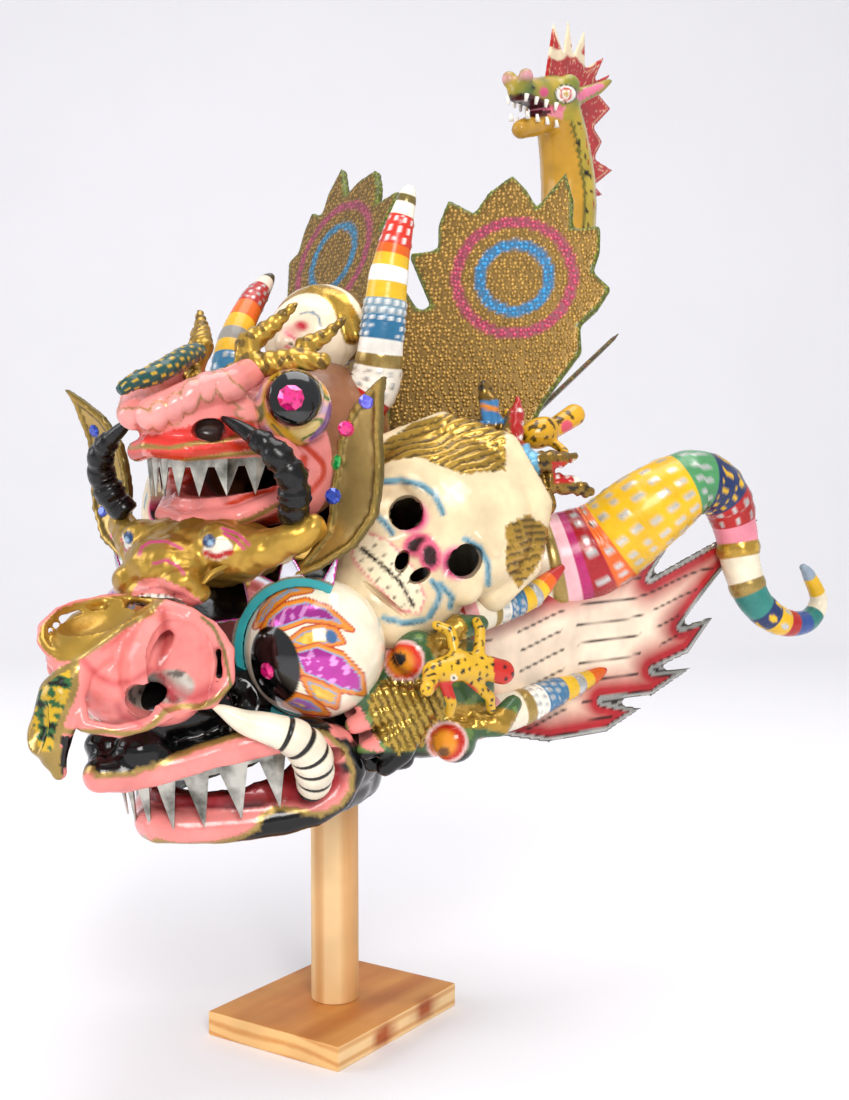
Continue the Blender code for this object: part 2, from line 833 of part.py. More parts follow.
def make_rear_wing(collection, gold):
    """A narrow leaf standing out behind the sun panel, seen nearly edge-on from the front."""
    outline = [(-96, -9), (60, -26), (120, -22), (168, -4), (150, 4), (172, 16), (118, 20), (60, 22), (-96, 9)]
    run = Vector((0.10, 0.84, 0.50)).normalized()
    across = Vector((0.556, -0.829, 0.059)).cross(run).normalized()
    flat = run.cross(across)
    place = Matrix.Translation(Vector((70, 160, 470)) * MM) @ Matrix((run, across, flat)).transposed().to_4x4()
    return plate("rear_wing_left", outline, EAR_THICKNESS, place, collection, gold)


SKULL_PLACE = facing((113, -32, 390), (0.60, -0.79, 0.05), (0.52, 0.36, 0.78))


def skull_lumps(bm):
    ball(bm, (0, 0, 22), (64, 44, 58), detail=16)
    ball(bm, (0, -6, -34), (50, 38, 46))
    ball(bm, (0, -14, -62), (40, 28, 24))
    for side in (-1, 1):
        ball(bm, (side * 34, -24, -12), (18, 16, 16))
        ball(bm, (side * 27, -30, 20), (18, 14, 8))
    chain(bm, [(0, -30, 8), (0, -40, -14)], [7, 7])
    chain(bm, [(-62, 8, -4), (-66, 6, 30), (-44, 0, 68), (0, -6, 84), (44, 0, 68), (66, 6, 30), (62, 8, -4)], 12)


def skull_hollows(bm):
    ball(bm, (0, 12, 0), (52, 42, 70), detail=16)
    ball(bm, (0, 60, 0), (90, 44, 110))
    for side in (-1, 1):
        ball(bm, (side * 27, -40, 2), (12, 34, 13))
        ball(bm, (side * 8, -44, -26), (5, 26, 9), turn=(0, side * 20, 0))
    ball(bm, (0, -44, -54), (30, 12, 2.6))


MINI_PLACE = facing((140, 20, 436), (0.66, -0.72, 0.20), (0.42, 0.50, 0.62))


def mini_mask_lumps(bm):
    ball(bm, (0, 6, 0), (32, 24, 34))
    ball(bm, (0, -16, -6), (16, 14, 14))
    for side in (-1, 1):
        chain(bm, [(0, -26, 0), (side * 13, -26, 6), (side * 17, -24, -6), (side * 8, -26, -12)], 5)
        ball(bm, (side * 36, -8, 6), (11, 11, 11))
        chain(bm, [(side * 12, -12, 22), (side * 22, -6, 38), (side * 30, 2, 52)], [9, 7, 3])
        chain(bm, [(side * 30, 4, 24), (side * 44, 6, 36), (side * 56, 8, 42)], [9, 7, 5])
    chain(bm, [(-32, -6, -12), (-22, -16, -27), (0, -20, -33), (22, -16, -27), (32, -6, -12)], 6)


def make_creature(collection, yellow):
    def lumps(bm):
        ball(bm, (148, 66, 468), (12, 17, 12), turn=(20, 0, -30))
        chain(bm, [(154, 78, 472), (160, 98, 482)], [8, 9])
        chain(bm, [(138, 60, 464), (130, 52, 476), (126, 54, 484)], [4, 3.5, 3])
        chain(bm, [(154, 72, 462), (168, 68, 454), (172, 62, 446)], [4, 3.5, 3])

    return soft_form("yellow_creature_left", lumps, None, 70, collection, None, yellow, voxel=0.0025)


TOAD_PLACE = facing((109, -46, 277), (0.66, -0.74, -0.06), (0.62, 0.50, 0.34))


def toad_lumps(bm):
    ball(bm, (0, 6, 8), (50, 34, 52), detail=14)
    ball(bm, (0, -8, -30), (34, 26, 26))
    for side in (-1, 1):
        ball(bm, (side * 35, -24, 12), (16, 16, 16))
        chain(bm, [(side * 32, -22, 30), (side * 38, -20, 46), (side * 32, -10, 62)], [9, 10, 7])
        chain(bm, [(side * 6, -30, 2), (side * 22, -40, -26), (side * 27, -40, -40)], [6, 9, 7])
        chain(bm, [(side * 3, -32, 2), (side * 9, -42, -28), (side * 10, -42, -48)], [6, 8, 7])
    chain(bm, [(-36, -10, -26), (-26, -20, -46), (0, -24, -58), (26, -20, -46), (36, -10, -26)], 8)


def make_lizard(collection, yellow):
    """Body, head and four legs, lying between the toad's eyes."""

    def lumps(bm):
        body = [(155, -92, 304), (163, -70, 306), (172, -50, 303), (177, -38, 299)]
        chain(bm, body, [8, 11, 9, 9])
        chain(bm, [(155, -92, 302), (162, -108, 298), (166, -116, 296)], [7, 6, 5])
        chain(bm, [(162, -74, 312), (156, -72, 330), (148, -78, 334)], [4.5, 4, 3.5])
        chain(bm, [(170, -58, 312), (164, -46, 328), (158, -42, 334)], [4.5, 4, 3.5])
        chain(bm, [(166, -66, 298), (172, -46, 282), (168, -38, 272)], [4.5, 4, 3.5])
        chain(bm, [(158, -84, 298), (162, -80, 282), (158, -76, 274)], [4.5, 4, 3.5])

    return soft_form("lizard_left", lumps, None, 110, collection, None, yellow, voxel=0.0025)


SIDE_HORN = [
    (112, 78, 362, 40),
    (140, 100, 366, 40),
    (172, 122, 380, 36),
    (206, 140, 410, 32),
    (232, 164, 430, 26),
    (246, 188, 420, 21),
    (251, 202, 394, 18),
    (256, 205, 362, 16),
    (265, 212, 334, 14),
    (277, 238, 316, 12),
    (288, 270, 314, 10),
    (293, 284, 330, 8),
    (290, 268, 352, 6),
    (288, 258, 360, 3.5),
]
TOP_HORN = [
    (50, -34, 484, 19),
    (60, -27, 505, 19),
    (66, -27, 536, 17),
    (70, -24, 580, 15),
    (74, -18, 613, 11.5),
    (79, -12, 641, 7),
    (81, -11, 649, 3),
]
FAR_TOP_HORN = [
    (-50, -52, 486, 16),
    (-58, -55, 512, 15),
    (-65, -40, 542, 13),
    (-71, -16, 569, 11),
    (-78, 10, 589, 8),
    (-82, 24, 598, 4),
]
TUSK = [
    (84, -136, 222, 10),
    (92, -142, 234, 13),
    (97, -152, 250, 14),
    (95, -165, 263, 13),
    (84, -179, 271, 11),
    (72, -190, 276, 8.5),
    (62, -200, 284, 4.5),
    (58, -205, 287, 2),
]
UPPER_TUSK = [
    (76, -146, 408, 9),
    (84, -152, 418, 10.5),
    (88, -160, 436, 10),
    (80, -168, 452, 9),
    (66, -172, 462, 6.5),
    (52, -174, 470, 4.5),
    (42, -176, 475, 2),
]
SNAKE = [
    (-4, -224, 492, 4),
    (-2, -214, 498, 6),
    (0, -196, 504, 7.5),
    (-2, -176, 512, 8),
    (-8, -156, 519, 8),
    (-14, -138, 524, 7),
]
SMALL_HORNS = {
    "upper_small_horn_left": [
        (112, -22, 328, 15),
        (132, -2, 335, 15),
        (146, 22, 341, 13),
        (156, 40, 346, 10),
        (162, 58, 358, 6.5),
        (166, 70, 366, 3),
    ],
    "lower_small_horn_left": [
        (116, -14, 250, 14),
        (138, 14, 257, 15),
        (152, 34, 262, 14),
        (163, 62, 270, 11.5),
        (170, 84, 274, 9),
        (176, 108, 280, 6),
        (181, 134, 290, 3),
    ],
}
WING_OUTLINE = [
    (0, -50),
    (-14, -8),
    (-6, 28),
    (40, 38),
    (92, 46),
    (136, 56),
    (188, 82),
    (160, 42),
    (262, 84),
    (232, 44),
    (190, 0),
    (224, 6),
    (196, -22),
    (160, -32),
    (198, -34),
    (156, -52),
    (110, -50),
    (146, -60),
    (112, -74),
    (60, -76),
    (20, -66),
]


def make_wing(collection, red):
    """A dished sheet of tin with a flame edge, standing out and back from the head."""

    def dish(point):
        depth = 0.030 * math.cos(point.z / 0.085) * (0.4 + point.x / 0.30)
        return Vector((point.x, depth, point.z))

    run = Vector((0.58, 0.80, 0.05)).normalized()
    up = Vector((-0.04, -0.03, 1.0))
    back = -run.cross(up).normalized()
    up = back.cross(run) * -1.0
    turn = Matrix((run, back, up)).transposed().to_4x4()
    place = Matrix.Translation(Vector((129, 6, 304)) * MM) @ turn
    return plate("wing_left", WING_OUTLINE, WING_THICKNESS, place, collection, red, dish, 120)


ON_CROWN = (
    "mid_face",
    "gold_brow",
    "gold_ear",
    "upper_head",
    "upper_eye",
    "upper_tusk",
    "upper_teeth",
    "nose_snake",
    "brow_leaf",
    "third_face",
    "top_horn",
    "sun_panel",
    "rear_wing",
    "dragon",
)


def lift_with_crown(pieces):
    """The pieces that the crown bears were placed with it at its measured height, and go up and down with it."""
    lift = Matrix.Translation((0, 0, CROWN_HEIGHT - MEASURED_CROWN))
    for piece in pieces:
        if piece.name.startswith(ON_CROWN):
            piece.data.transform(lift)


def main():
    clear_scene()
    parts = new_collection("devil_mask")
    cutters = new_collection("cutters")
    gold = paint("gold paint", GOLD, 0.3, 0.6)
    tin = paint("bare tin", TIN, 0.3, 1.0)
    cream = paint("cream paint", CREAM, 0.3)
    black = paint("black gloss paint", BLACK, 0.12)
    pink = paint("pink gloss paint", PINK, 0.25)
    red = paint("red gloss paint", RED, 0.25)
    yellow = paint("yellow paint", (0.8, 0.5, 0.03), 0.3)
    green = paint("olive paint", (0.15, 0.17, 0.06), 0.3)

    board, pole = make_stand(parts)
    head = soft_form("head_shell", head_lumps, head_hollows, 290, parts, cutters, black)
    upper_head = soft_form("upper_head", upper_head_lumps, upper_head_hollows, 180, parts, cutters, pink, 0.0035)
    nose = soft_form("nose", nose_lumps, nose_hollows, 170, parts, cutters, pink, 0.003)
    mid_face = soft_form("mid_face", mid_face_lumps, mid_face_hollows, 110, parts, cutters, gold, 0.003)
    third = soft_form("third_face", third_face_lumps, None, 100, parts, cutters, cream, 0.003)
    dragon = soft_form("dragon", dragon_lumps, dragon_hollows, 190, parts, cutters, green, 0.0035)
    skull = soft_form("skull_left", skull_lumps, skull_hollows, 120, parts, cutters, cream, 0.003, SKULL_PLACE)
    mini = soft_form("mini_mask_left", mini_mask_lumps, None, 84, parts, cutters, gold, 0.0025, MINI_PLACE)
    toad = soft_form("toad_left", toad_lumps, None, 86, parts, cutters, green, 0.003, TOAD_PLACE)

    single = {
        "crest": make_crest(parts, red),
        "teeth": make_upper_teeth(parts, tin),
        "snake": horn("nose_snake", SNAKE, parts, green, 1, 6),
    }
    left = [
        make_big_eye(parts, cream),
        make_upper_eye(parts, cream),
        horn("tusk_left", TUSK, parts, cream, 1, 8),
        horn("upper_tusk_left", UPPER_TUSK, parts, black, 1, 8),
        make_ear(parts, gold),
        skull,
        toad,
        horn("side_horn_left", SIDE_HORN, parts, yellow, 1, 8),
        horn("top_horn_left", TOP_HORN, parts, yellow, 1, 8),
        make_wing(parts, red),
        mini,
        *[horn(name, path, parts, yellow, 1, 8) for name, path in SMALL_HORNS.items()],
        make_sun_panel("sun_panel_left", (90, 120, 590), 27, 12, sun_outline(NEAR_TEETH, NEAR_FOOT), parts, gold),
        make_gold_brow(parts, gold),
        make_lashes(parts, tin),
        make_brow_leaf(parts, gold),
        make_lower_teeth("lower_teeth_left", LOWER_TOOTH_PATH, parts, tin),
        make_creature(parts, yellow),
        make_lizard(parts, yellow),
        make_rear_wing(parts, gold),
    ]
    far_teeth = [(-x - 1, y, z) for x, y, z in LOWER_TOOTH_PATH[1:]]
    own_right = {
        "sun_panel_right": make_sun_panel(
            "sun_panel_right", (-92, 124, 620), -19, 19, sun_outline(FAR_TEETH, FAR_FOOT), parts, gold
        ),
        "top_horn_right": horn("top_horn_right", FAR_TOP_HORN, parts, yellow, 1, 8),
        "lower_teeth_right": make_lower_teeth("lower_teeth_right", far_teeth, parts, tin),
    }
    right = []
    for piece in left:
        name = piece.name.replace("_left", "_right")
        right.append(own_right.get(name) or mirrored(name, piece, parts))
    eyes = [*left[:3], *right[:3]]
    sides = [piece for pair in zip(left[3:], right[3:]) for piece in pair]
    order = [board, pole, *eyes, head, upper_head, nose, mid_face]
    order += [*sides[:4], single["snake"], third, *sides[4:], single["teeth"], dragon, single["crest"]]
    lift_with_crown([*order, *cutters.objects])
    fit_together(order, cutters)


main()
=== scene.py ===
import json
import math

import bmesh
import bpy
import numpy as np
from mathutils import Euler, Matrix, Vector

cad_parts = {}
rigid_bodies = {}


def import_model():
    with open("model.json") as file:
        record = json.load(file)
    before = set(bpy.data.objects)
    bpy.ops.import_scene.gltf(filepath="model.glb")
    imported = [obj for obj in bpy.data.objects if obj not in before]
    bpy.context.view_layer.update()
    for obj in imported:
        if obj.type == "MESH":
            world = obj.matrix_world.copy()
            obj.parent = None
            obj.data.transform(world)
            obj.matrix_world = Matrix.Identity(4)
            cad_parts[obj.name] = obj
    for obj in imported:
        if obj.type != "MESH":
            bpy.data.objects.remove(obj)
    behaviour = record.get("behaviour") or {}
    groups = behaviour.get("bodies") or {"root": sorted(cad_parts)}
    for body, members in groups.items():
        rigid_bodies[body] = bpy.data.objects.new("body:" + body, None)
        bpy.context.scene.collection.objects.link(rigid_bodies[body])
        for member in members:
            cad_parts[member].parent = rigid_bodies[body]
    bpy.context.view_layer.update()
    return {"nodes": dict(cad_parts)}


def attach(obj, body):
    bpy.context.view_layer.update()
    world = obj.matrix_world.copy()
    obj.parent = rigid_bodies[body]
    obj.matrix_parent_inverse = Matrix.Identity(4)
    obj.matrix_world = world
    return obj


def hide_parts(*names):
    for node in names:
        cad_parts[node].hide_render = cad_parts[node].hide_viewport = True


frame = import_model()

MM = 0.001
FINE = 1.0

SHELL_WALL = 0.007
CROWN_HEIGHT = 0.480
BIG_EYE_RADIUS = 0.049
UPPER_EYE_RADIUS = 0.027
TIN_THICKNESS = 0.0016
EAR_THICKNESS = 0.004
PANEL_THICKNESS = 0.008
WING_THICKNESS = 0.003
CREST_THICKNESS = 0.003
LASH_LENGTH = 0.025
LID_WIDTH = 0.007
LID_ADVANCE = 0.020
LOWER_TOOTH_LENGTH = 0.036
LOWER_GUM = 0.008
UPPER_TOOTH_LENGTH = 0.020
UPPER_GUM = 0.011
SUN_RADIUS = 0.067

# The photograph's camera, in metres and pixels, used to place painted lines where the photograph has them.
CAMERA_PLACE = Vector((0.6926, -0.9046, 0.4439))
CAMERA_AZIMUTH = math.radians(33.84)
CAMERA_PITCH = math.radians(3.375)
FOCAL = 1450.0
PHOTO_WIDTH = 849
PHOTO_HEIGHT = 1100
BACK = np.array(
    (
        math.sin(CAMERA_AZIMUTH) * math.cos(CAMERA_PITCH),
        -math.cos(CAMERA_AZIMUTH) * math.cos(CAMERA_PITCH),
        math.sin(CAMERA_PITCH),
    )
)
RIGHT = np.array((math.cos(CAMERA_AZIMUTH), math.sin(CAMERA_AZIMUTH), 0.0))
UP = np.cross(BACK, RIGHT)


def linear(colour):
    """A hex sRGB colour as linear light."""
    values = [int(colour[k : k + 2], 16) / 255 for k in (0, 2, 4)]
    return [value / 12.92 if value <= 0.04045 else ((value + 0.055) / 1.055) ** 2.4 for value in values]


def to_pixels(points):
    """Where points in millimetres fall in the photograph."""
    place = points * MM - np.array(CAMERA_PLACE)
    depth = -place @ BACK
    across = PHOTO_WIDTH / 2 + FOCAL * (place @ RIGHT) / depth
    down = PHOTO_HEIGHT / 2 - FOCAL * (place @ UP) / depth
    return np.column_stack((across, down))


def distance_to_line(points, line):
    """Each point's distance to the nearest stretch of a line of two or more points."""
    best = np.full(len(points), 1e9)
    line = np.asarray(line, float)
    for start, end in zip(line[:-1], line[1:]):
        way = end - start
        share = np.clip(((points - start) @ way) / max(way @ way, 1e-9), 0, 1)
        best = np.minimum(best, np.linalg.norm(points - start - share[:, None] * way, axis=1))
    return best


def curve_through(points, steps=4):
    return [tuple(point) for point in smooth_path(points, steps)]


def inside_outline(points, outline):
    """True for each flat point within the closed outline."""
    x, y = points[:, 0], points[:, 1]
    found = np.zeros(len(points), bool)
    for (x1, y1), (x2, y2) in zip(outline, [*outline[1:], outline[0]]):
        crosses = (y1 > y) != (y2 > y)
        level = (y - y1) / ((y2 - y1) or 1e-9)
        found ^= crosses & (x < x1 + level * (x2 - x1))
    return found


def ripple(points, size, seed=0):
    """Smooth uneven numbers from -1 to 1 over space, with waves about size millimetres long."""
    dice = np.random.default_rng(seed)
    total = np.zeros(len(points))
    for _ in range(6):
        way = dice.normal(size=3)
        way *= 2 * math.pi / (size * dice.uniform(0.7, 1.6) * np.linalg.norm(way))
        total += np.sin(points @ way + dice.uniform(0, 6.28))
    return total / 3.2


class Skin:
    """The points of a piece, being carved and painted.

    Places are in millimetres. A mask is a number from 0 to 1 for each point.
    """

    def __init__(self, thing, colour, gilt=0.0, rough=0.25):
        self.thing = thing
        mesh = thing.data
        self.count = len(mesh.vertices)
        points = np.empty(self.count * 3, np.float32)
        mesh.vertices.foreach_get("co", points)
        self.points = points.reshape(-1, 3).astype(float) / MM
        self.read_normals()
        self.colour = np.tile(np.array(linear(colour)), (self.count, 1))
        self.gilt = np.full(self.count, gilt)
        self.rough = np.full(self.count, rough)
        self.look()

    def read_normals(self):
        normals = np.empty(self.count * 3, np.float32)
        self.thing.data.vertices.foreach_get("normal", normals)
        self.normals = normals.reshape(-1, 3).astype(float)

    def look(self, folded=True):
        """Finds where each point is in the photograph and whether it faces the camera.

        Folded reads the far half as the near half's mirror, so that both sides get the same lines.
        """
        side = np.where((self.points[:, 0] < 0) & folded, -1.0, 1.0)
        turn = np.column_stack((side, np.ones(self.count), np.ones(self.count)))
        place = self.points * turn
        self.pixels = to_pixels(place)
        towards = np.array(CAMERA_PLACE) / MM - place
        towards /= np.linalg.norm(towards, axis=1)[:, None]
        self.facing = (np.einsum("ij,ij->i", self.normals * turn, towards) > 0).astype(float)
        return self

    def near_line(self, line, half_width, soft=1.0):
        """Near a line of points in millimetres, on both halves of the mask."""
        place = np.column_stack((np.abs(self.points[:, 0]), self.points[:, 1], self.points[:, 2]))
        return fall(distance_to_line(place, line), half_width, soft)

    def near_pixels(self, line, half_width, soft=1.0):
        """Near a line drawn in the photograph's pixels, where the skin faces the camera."""
        return fall(distance_to_line(self.pixels, line), half_width, soft) * self.facing

    def in_pixels(self, outline):
        return inside_outline(self.pixels, outline) * self.facing

    def stroke(self, line, colour, half_width=1.6, soft=1.2, gilt=0.0, rough=None):
        """One stroke of the brush along a line in pixels."""
        self.coat(self.near_pixels(line, half_width, soft), colour, gilt, rough)

    def patch(self, outline, colour, gilt=0.0, rough=None):
        self.coat(self.in_pixels(outline), colour, gilt, rough)

    def in_disc(self, centre, across, down, turn=0.0, soft=1.0):
        """In an ellipse drawn in pixels, turned anticlockwise by degrees."""
        offset = self.pixels - np.array(centre)
        angle = math.radians(turn)
        x = offset[:, 0] * math.cos(angle) - offset[:, 1] * math.sin(angle)
        y = offset[:, 0] * math.sin(angle) + offset[:, 1] * math.cos(angle)
        reach = np.hypot(x / across, y / down)
        return fall(reach * min(across, down), min(across, down), soft) * self.facing

    def spot(self, centre, size, colour, turn=0.0, soft=1.2, gilt=0.0, rough=None):
        self.coat(self.in_disc(centre, *size, turn, soft), colour, gilt, rough)

    def in_ball(self, centre, radii, soft=0.06):
        place = np.column_stack((np.abs(self.points[:, 0]), self.points[:, 1], self.points[:, 2]))
        reach = np.linalg.norm((place - np.array(centre)) / np.array(radii), axis=1)
        return fall(reach, 1.0, soft)

    def coat(self, mask, colour, gilt=0.0, rough=None):
        mask = np.clip(np.asarray(mask, float), 0, 1)
        self.colour += mask[:, None] * (np.array(linear(colour)) - self.colour)
        self.gilt += mask * (gilt - self.gilt)
        if rough is not None:
            self.rough += mask * (rough - self.rough)

    def carve(self, amount):
        """Moves each point out along its normal by the amount in millimetres."""
        self.points += self.normals * np.asarray(amount, float)[:, None]
        self.thing.data.vertices.foreach_set("co", (self.points * MM).astype(np.float32).ravel())
        self.thing.data.update()
        self.read_normals()
        self.look()

    def finish(self):
        mesh = self.thing.data
        layer = mesh.attributes.new("paint", "FLOAT_COLOR", "POINT")
        values = np.column_stack((np.clip(self.colour, 0, 1), np.ones(self.count)))
        layer.data.foreach_set("color", values.astype(np.float32).ravel())
        for name, numbers in (("gilt", self.gilt), ("rough", self.rough)):
            layer = mesh.attributes.new(name, "FLOAT", "POINT")
            layer.data.foreach_set("value", np.clip(numbers, 0, 1).astype(np.float32))
        mesh.shade_smooth()
        return self.thing


def fall(distance, edge, soft):
    """1 within the edge and 0 beyond it, over a border as wide as soft."""
    return np.clip((edge - distance) / soft + 0.5, 0, 1)


def lay_details(skin, details):
    """Paints a table's details in order: each is named, then how it is laid on and what that takes."""
    ways = {"stroke": skin.stroke, "patch": skin.patch, "spot": skin.spot}
    for _, way, *settings in details:
        ways[way](*settings)


def link(name, mesh):
    thing = bpy.data.objects.new(name, mesh)
    bpy.context.scene.collection.objects.link(thing)
    return thing


def from_bmesh(name, bm):
    mesh = bpy.data.meshes.new(name)
    bm.to_mesh(mesh)
    bm.free()
    return link(name, mesh)


def bake(thing):
    """Gives the object its evaluated mesh and takes its modifiers off."""
    graph = bpy.context.evaluated_depsgraph_get()
    graph.update()
    mesh = bpy.data.meshes.new_from_object(thing.evaluated_get(graph))
    thing.modifiers.clear()
    old = thing.data
    thing.data = mesh
    bpy.data.meshes.remove(old)
    return thing


def ball(bm, centre, radii, turn=(0, 0, 0), detail=12):
    """An ellipsoid: centre and radii in millimetres, turn in degrees."""
    place = (
        Matrix.Translation(Vector(centre) * MM)
        @ Euler([math.radians(angle) for angle in turn]).to_matrix().to_4x4()
        @ Matrix.Diagonal((*[radius * MM for radius in radii], 1.0))
    )
    bmesh.ops.create_uvsphere(bm, u_segments=2 * detail, v_segments=detail, radius=1.0, matrix=place)


def limb(bm, start, end, start_radius, end_radius, detail=12):
    """A tapered bar between two points, in millimetres."""
    start = Vector(start)
    end = Vector(end)
    way = end - start
    if way.length < 0.01:
        return
    place = Matrix.Translation((start + end) / 2 * MM) @ way.to_track_quat("Z", "Y").to_matrix().to_4x4()
    bmesh.ops.create_cone(
        bm,
        cap_ends=True,
        segments=detail,
        radius1=start_radius * MM,
        radius2=end_radius * MM,
        depth=way.length * MM,
        matrix=place,
    )


def chain(bm, points, radii):
    """Bars from point to point, with a ball at each, in millimetres."""
    if isinstance(radii, (int, float)):
        radii = [radii] * len(points)
    for point, radius in zip(points, radii):
        ball(bm, point, (radius, radius, radius), detail=8)
    for k in range(len(points) - 1):
        limb(bm, points[k], points[k + 1], radii[k], radii[k + 1])


def both_sides(points):
    return points, [(-x, y, z) for x, y, z in points]


def smooth_path(points, steps):
    """Points along a Catmull-Rom curve through the given ones."""
    points = [Vector(point) for point in points]
    ends = [2 * points[0] - points[1], *points, 2 * points[-1] - points[-2]]
    path = []
    for k in range(1, len(ends) - 2):
        a, b, c, d = ends[k - 1 : k + 3]
        for step in range(steps):
            t = step / steps
            squared = (2 * a - 5 * b + 4 * c - d) * t * t
            cubed = (3 * b - a - 3 * c + d) * t * t * t
            path.append(0.5 * (2 * b + (c - a) * t + squared + cubed))
    path.append(points[-1])
    return path


def facing(centre, normal, up):
    """The placement of a form modelled round the origin that looks along -Y with +Z up."""
    back = -Vector(normal).normalized()
    side = back.cross(Vector(up)).normalized()
    top = side.cross(back)
    turn = Matrix((side, back, top)).transposed().to_4x4()
    return Matrix.Translation(Vector(centre) * MM) @ turn


def skin_over(thing, voxel, smoothing=2):
    """One even skin over the object's overlapping shapes, softened; voxel is in millimetres."""
    modifier = thing.modifiers.new("Skin", "REMESH")
    modifier.mode = "VOXEL"
    modifier.voxel_size = voxel * MM
    modifier = thing.modifiers.new("Soften", "SMOOTH")
    modifier.iterations = smoothing
    modifier.factor = 0.5
    return bake(thing)


def fine_form(name, lumps, hollows, voxel, smoothing=2, place=None, inner=1.0):
    """The form that lumps(bm) adds, less what hollows(bm) adds, as one fine skin.

    inner is how many times coarser the skin of the hollows is.
    """
    made = []
    for shapes in (lumps, hollows) if hollows else (lumps,):
        bm = bmesh.new()
        shapes(bm)
        if place:
            bmesh.ops.transform(bm, matrix=place, verts=bm.verts)
        coarser = 1.0 if shapes is lumps else inner
        made.append(skin_over(from_bmesh(name, bm), voxel * FINE * coarser, smoothing))
    if hollows:
        modifier = made[0].modifiers.new("Hollow", "BOOLEAN")
        modifier.operation = "DIFFERENCE"
        modifier.solver = "MANIFOLD"
        modifier.object = made[1]
        bake(made[0])
        bpy.data.objects.remove(made[1], do_unlink=True)
    return made[0]


def mirrored(name, thing):
    """The same piece on the mask's other side."""
    mesh = thing.data.copy()
    points = np.empty(len(mesh.vertices) * 3, np.float32)
    mesh.vertices.foreach_get("co", points)
    points[0::3] *= -1
    mesh.vertices.foreach_set("co", points)
    mesh.flip_normals()
    mesh.update()
    return link(name, mesh)


def put(thing, material, slot, *nodes):
    """Finishes a piece: its material, the body it rides on and the nodes it stands for; slot is not used."""
    thing.data.materials.clear()
    thing.data.materials.append(material)
    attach(thing, "root")
    if nodes:
        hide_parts(*nodes)
    return thing


def put_pair(thing, material, slot, node):
    """The left piece and its mirror on the right, standing for node_left and node_right."""
    other = mirrored(thing.name.replace("_left", "_right"), thing)
    put(thing, material, slot, node + "_left")
    put(other, material, slot, node + "_right")
    return thing, other


def plate_skin(name, outline, thickness, voxel, smoothing=1):
    """A flat outline of points (across, up) in millimetres as an even thick sheet, not yet put in place."""
    bm = bmesh.new()
    verts = [bm.verts.new((x * MM, -thickness / 2, z * MM)) for x, z in outline]
    face = bm.faces.new(verts)
    bm.normal_update()
    made = bmesh.ops.extrude_face_region(bm, geom=[face])
    moved = [item for item in made["geom"] if isinstance(item, bmesh.types.BMVert)]
    bmesh.ops.translate(bm, vec=(0, thickness, 0), verts=moved)
    bmesh.ops.triangulate(bm, faces=bm.faces, ngon_method="EAR_CLIP")
    bmesh.ops.recalc_face_normals(bm, faces=bm.faces)
    return skin_over(from_bmesh(name, bm), voxel, smoothing)


def move_to(skin, place=None, bend=None):
    """Bends a sheet's points and then puts it in place."""
    points = skin.points
    if bend:
        points = bend(points)
    if place is not None:
        turn = np.array(place)[:3, :3]
        points = points @ turn.T + np.array(place)[:3, 3] / MM
    skin.points = points
    skin.thing.data.vertices.foreach_set("co", (points * MM).astype(np.float32).ravel())
    skin.thing.data.update()
    skin.read_normals()
    skin.look()


def node(tree, kind, settings=None, links=None):
    """Adds a shader node; settings fill its properties and sockets, links join its inputs to others."""
    made = tree.nodes.new(kind)
    for key, value in (settings or {}).items():
        if isinstance(key, str) and hasattr(made, key) and key not in made.inputs:
            setattr(made, key, value)
        else:
            made.inputs[key].default_value = value
    for key, source in (links or {}).items():
        tree.links.new(source, made.inputs[key])
    return made


def new_material(name):
    material = bpy.data.materials.new(name)
    material.use_nodes = True
    tree = material.node_tree
    tree.nodes.clear()
    out = tree.nodes.new("ShaderNodeOutputMaterial")
    shader = tree.nodes.new("ShaderNodeBsdfPrincipled")
    tree.links.new(shader.outputs["BSDF"], out.inputs["Surface"])
    return material, tree, shader


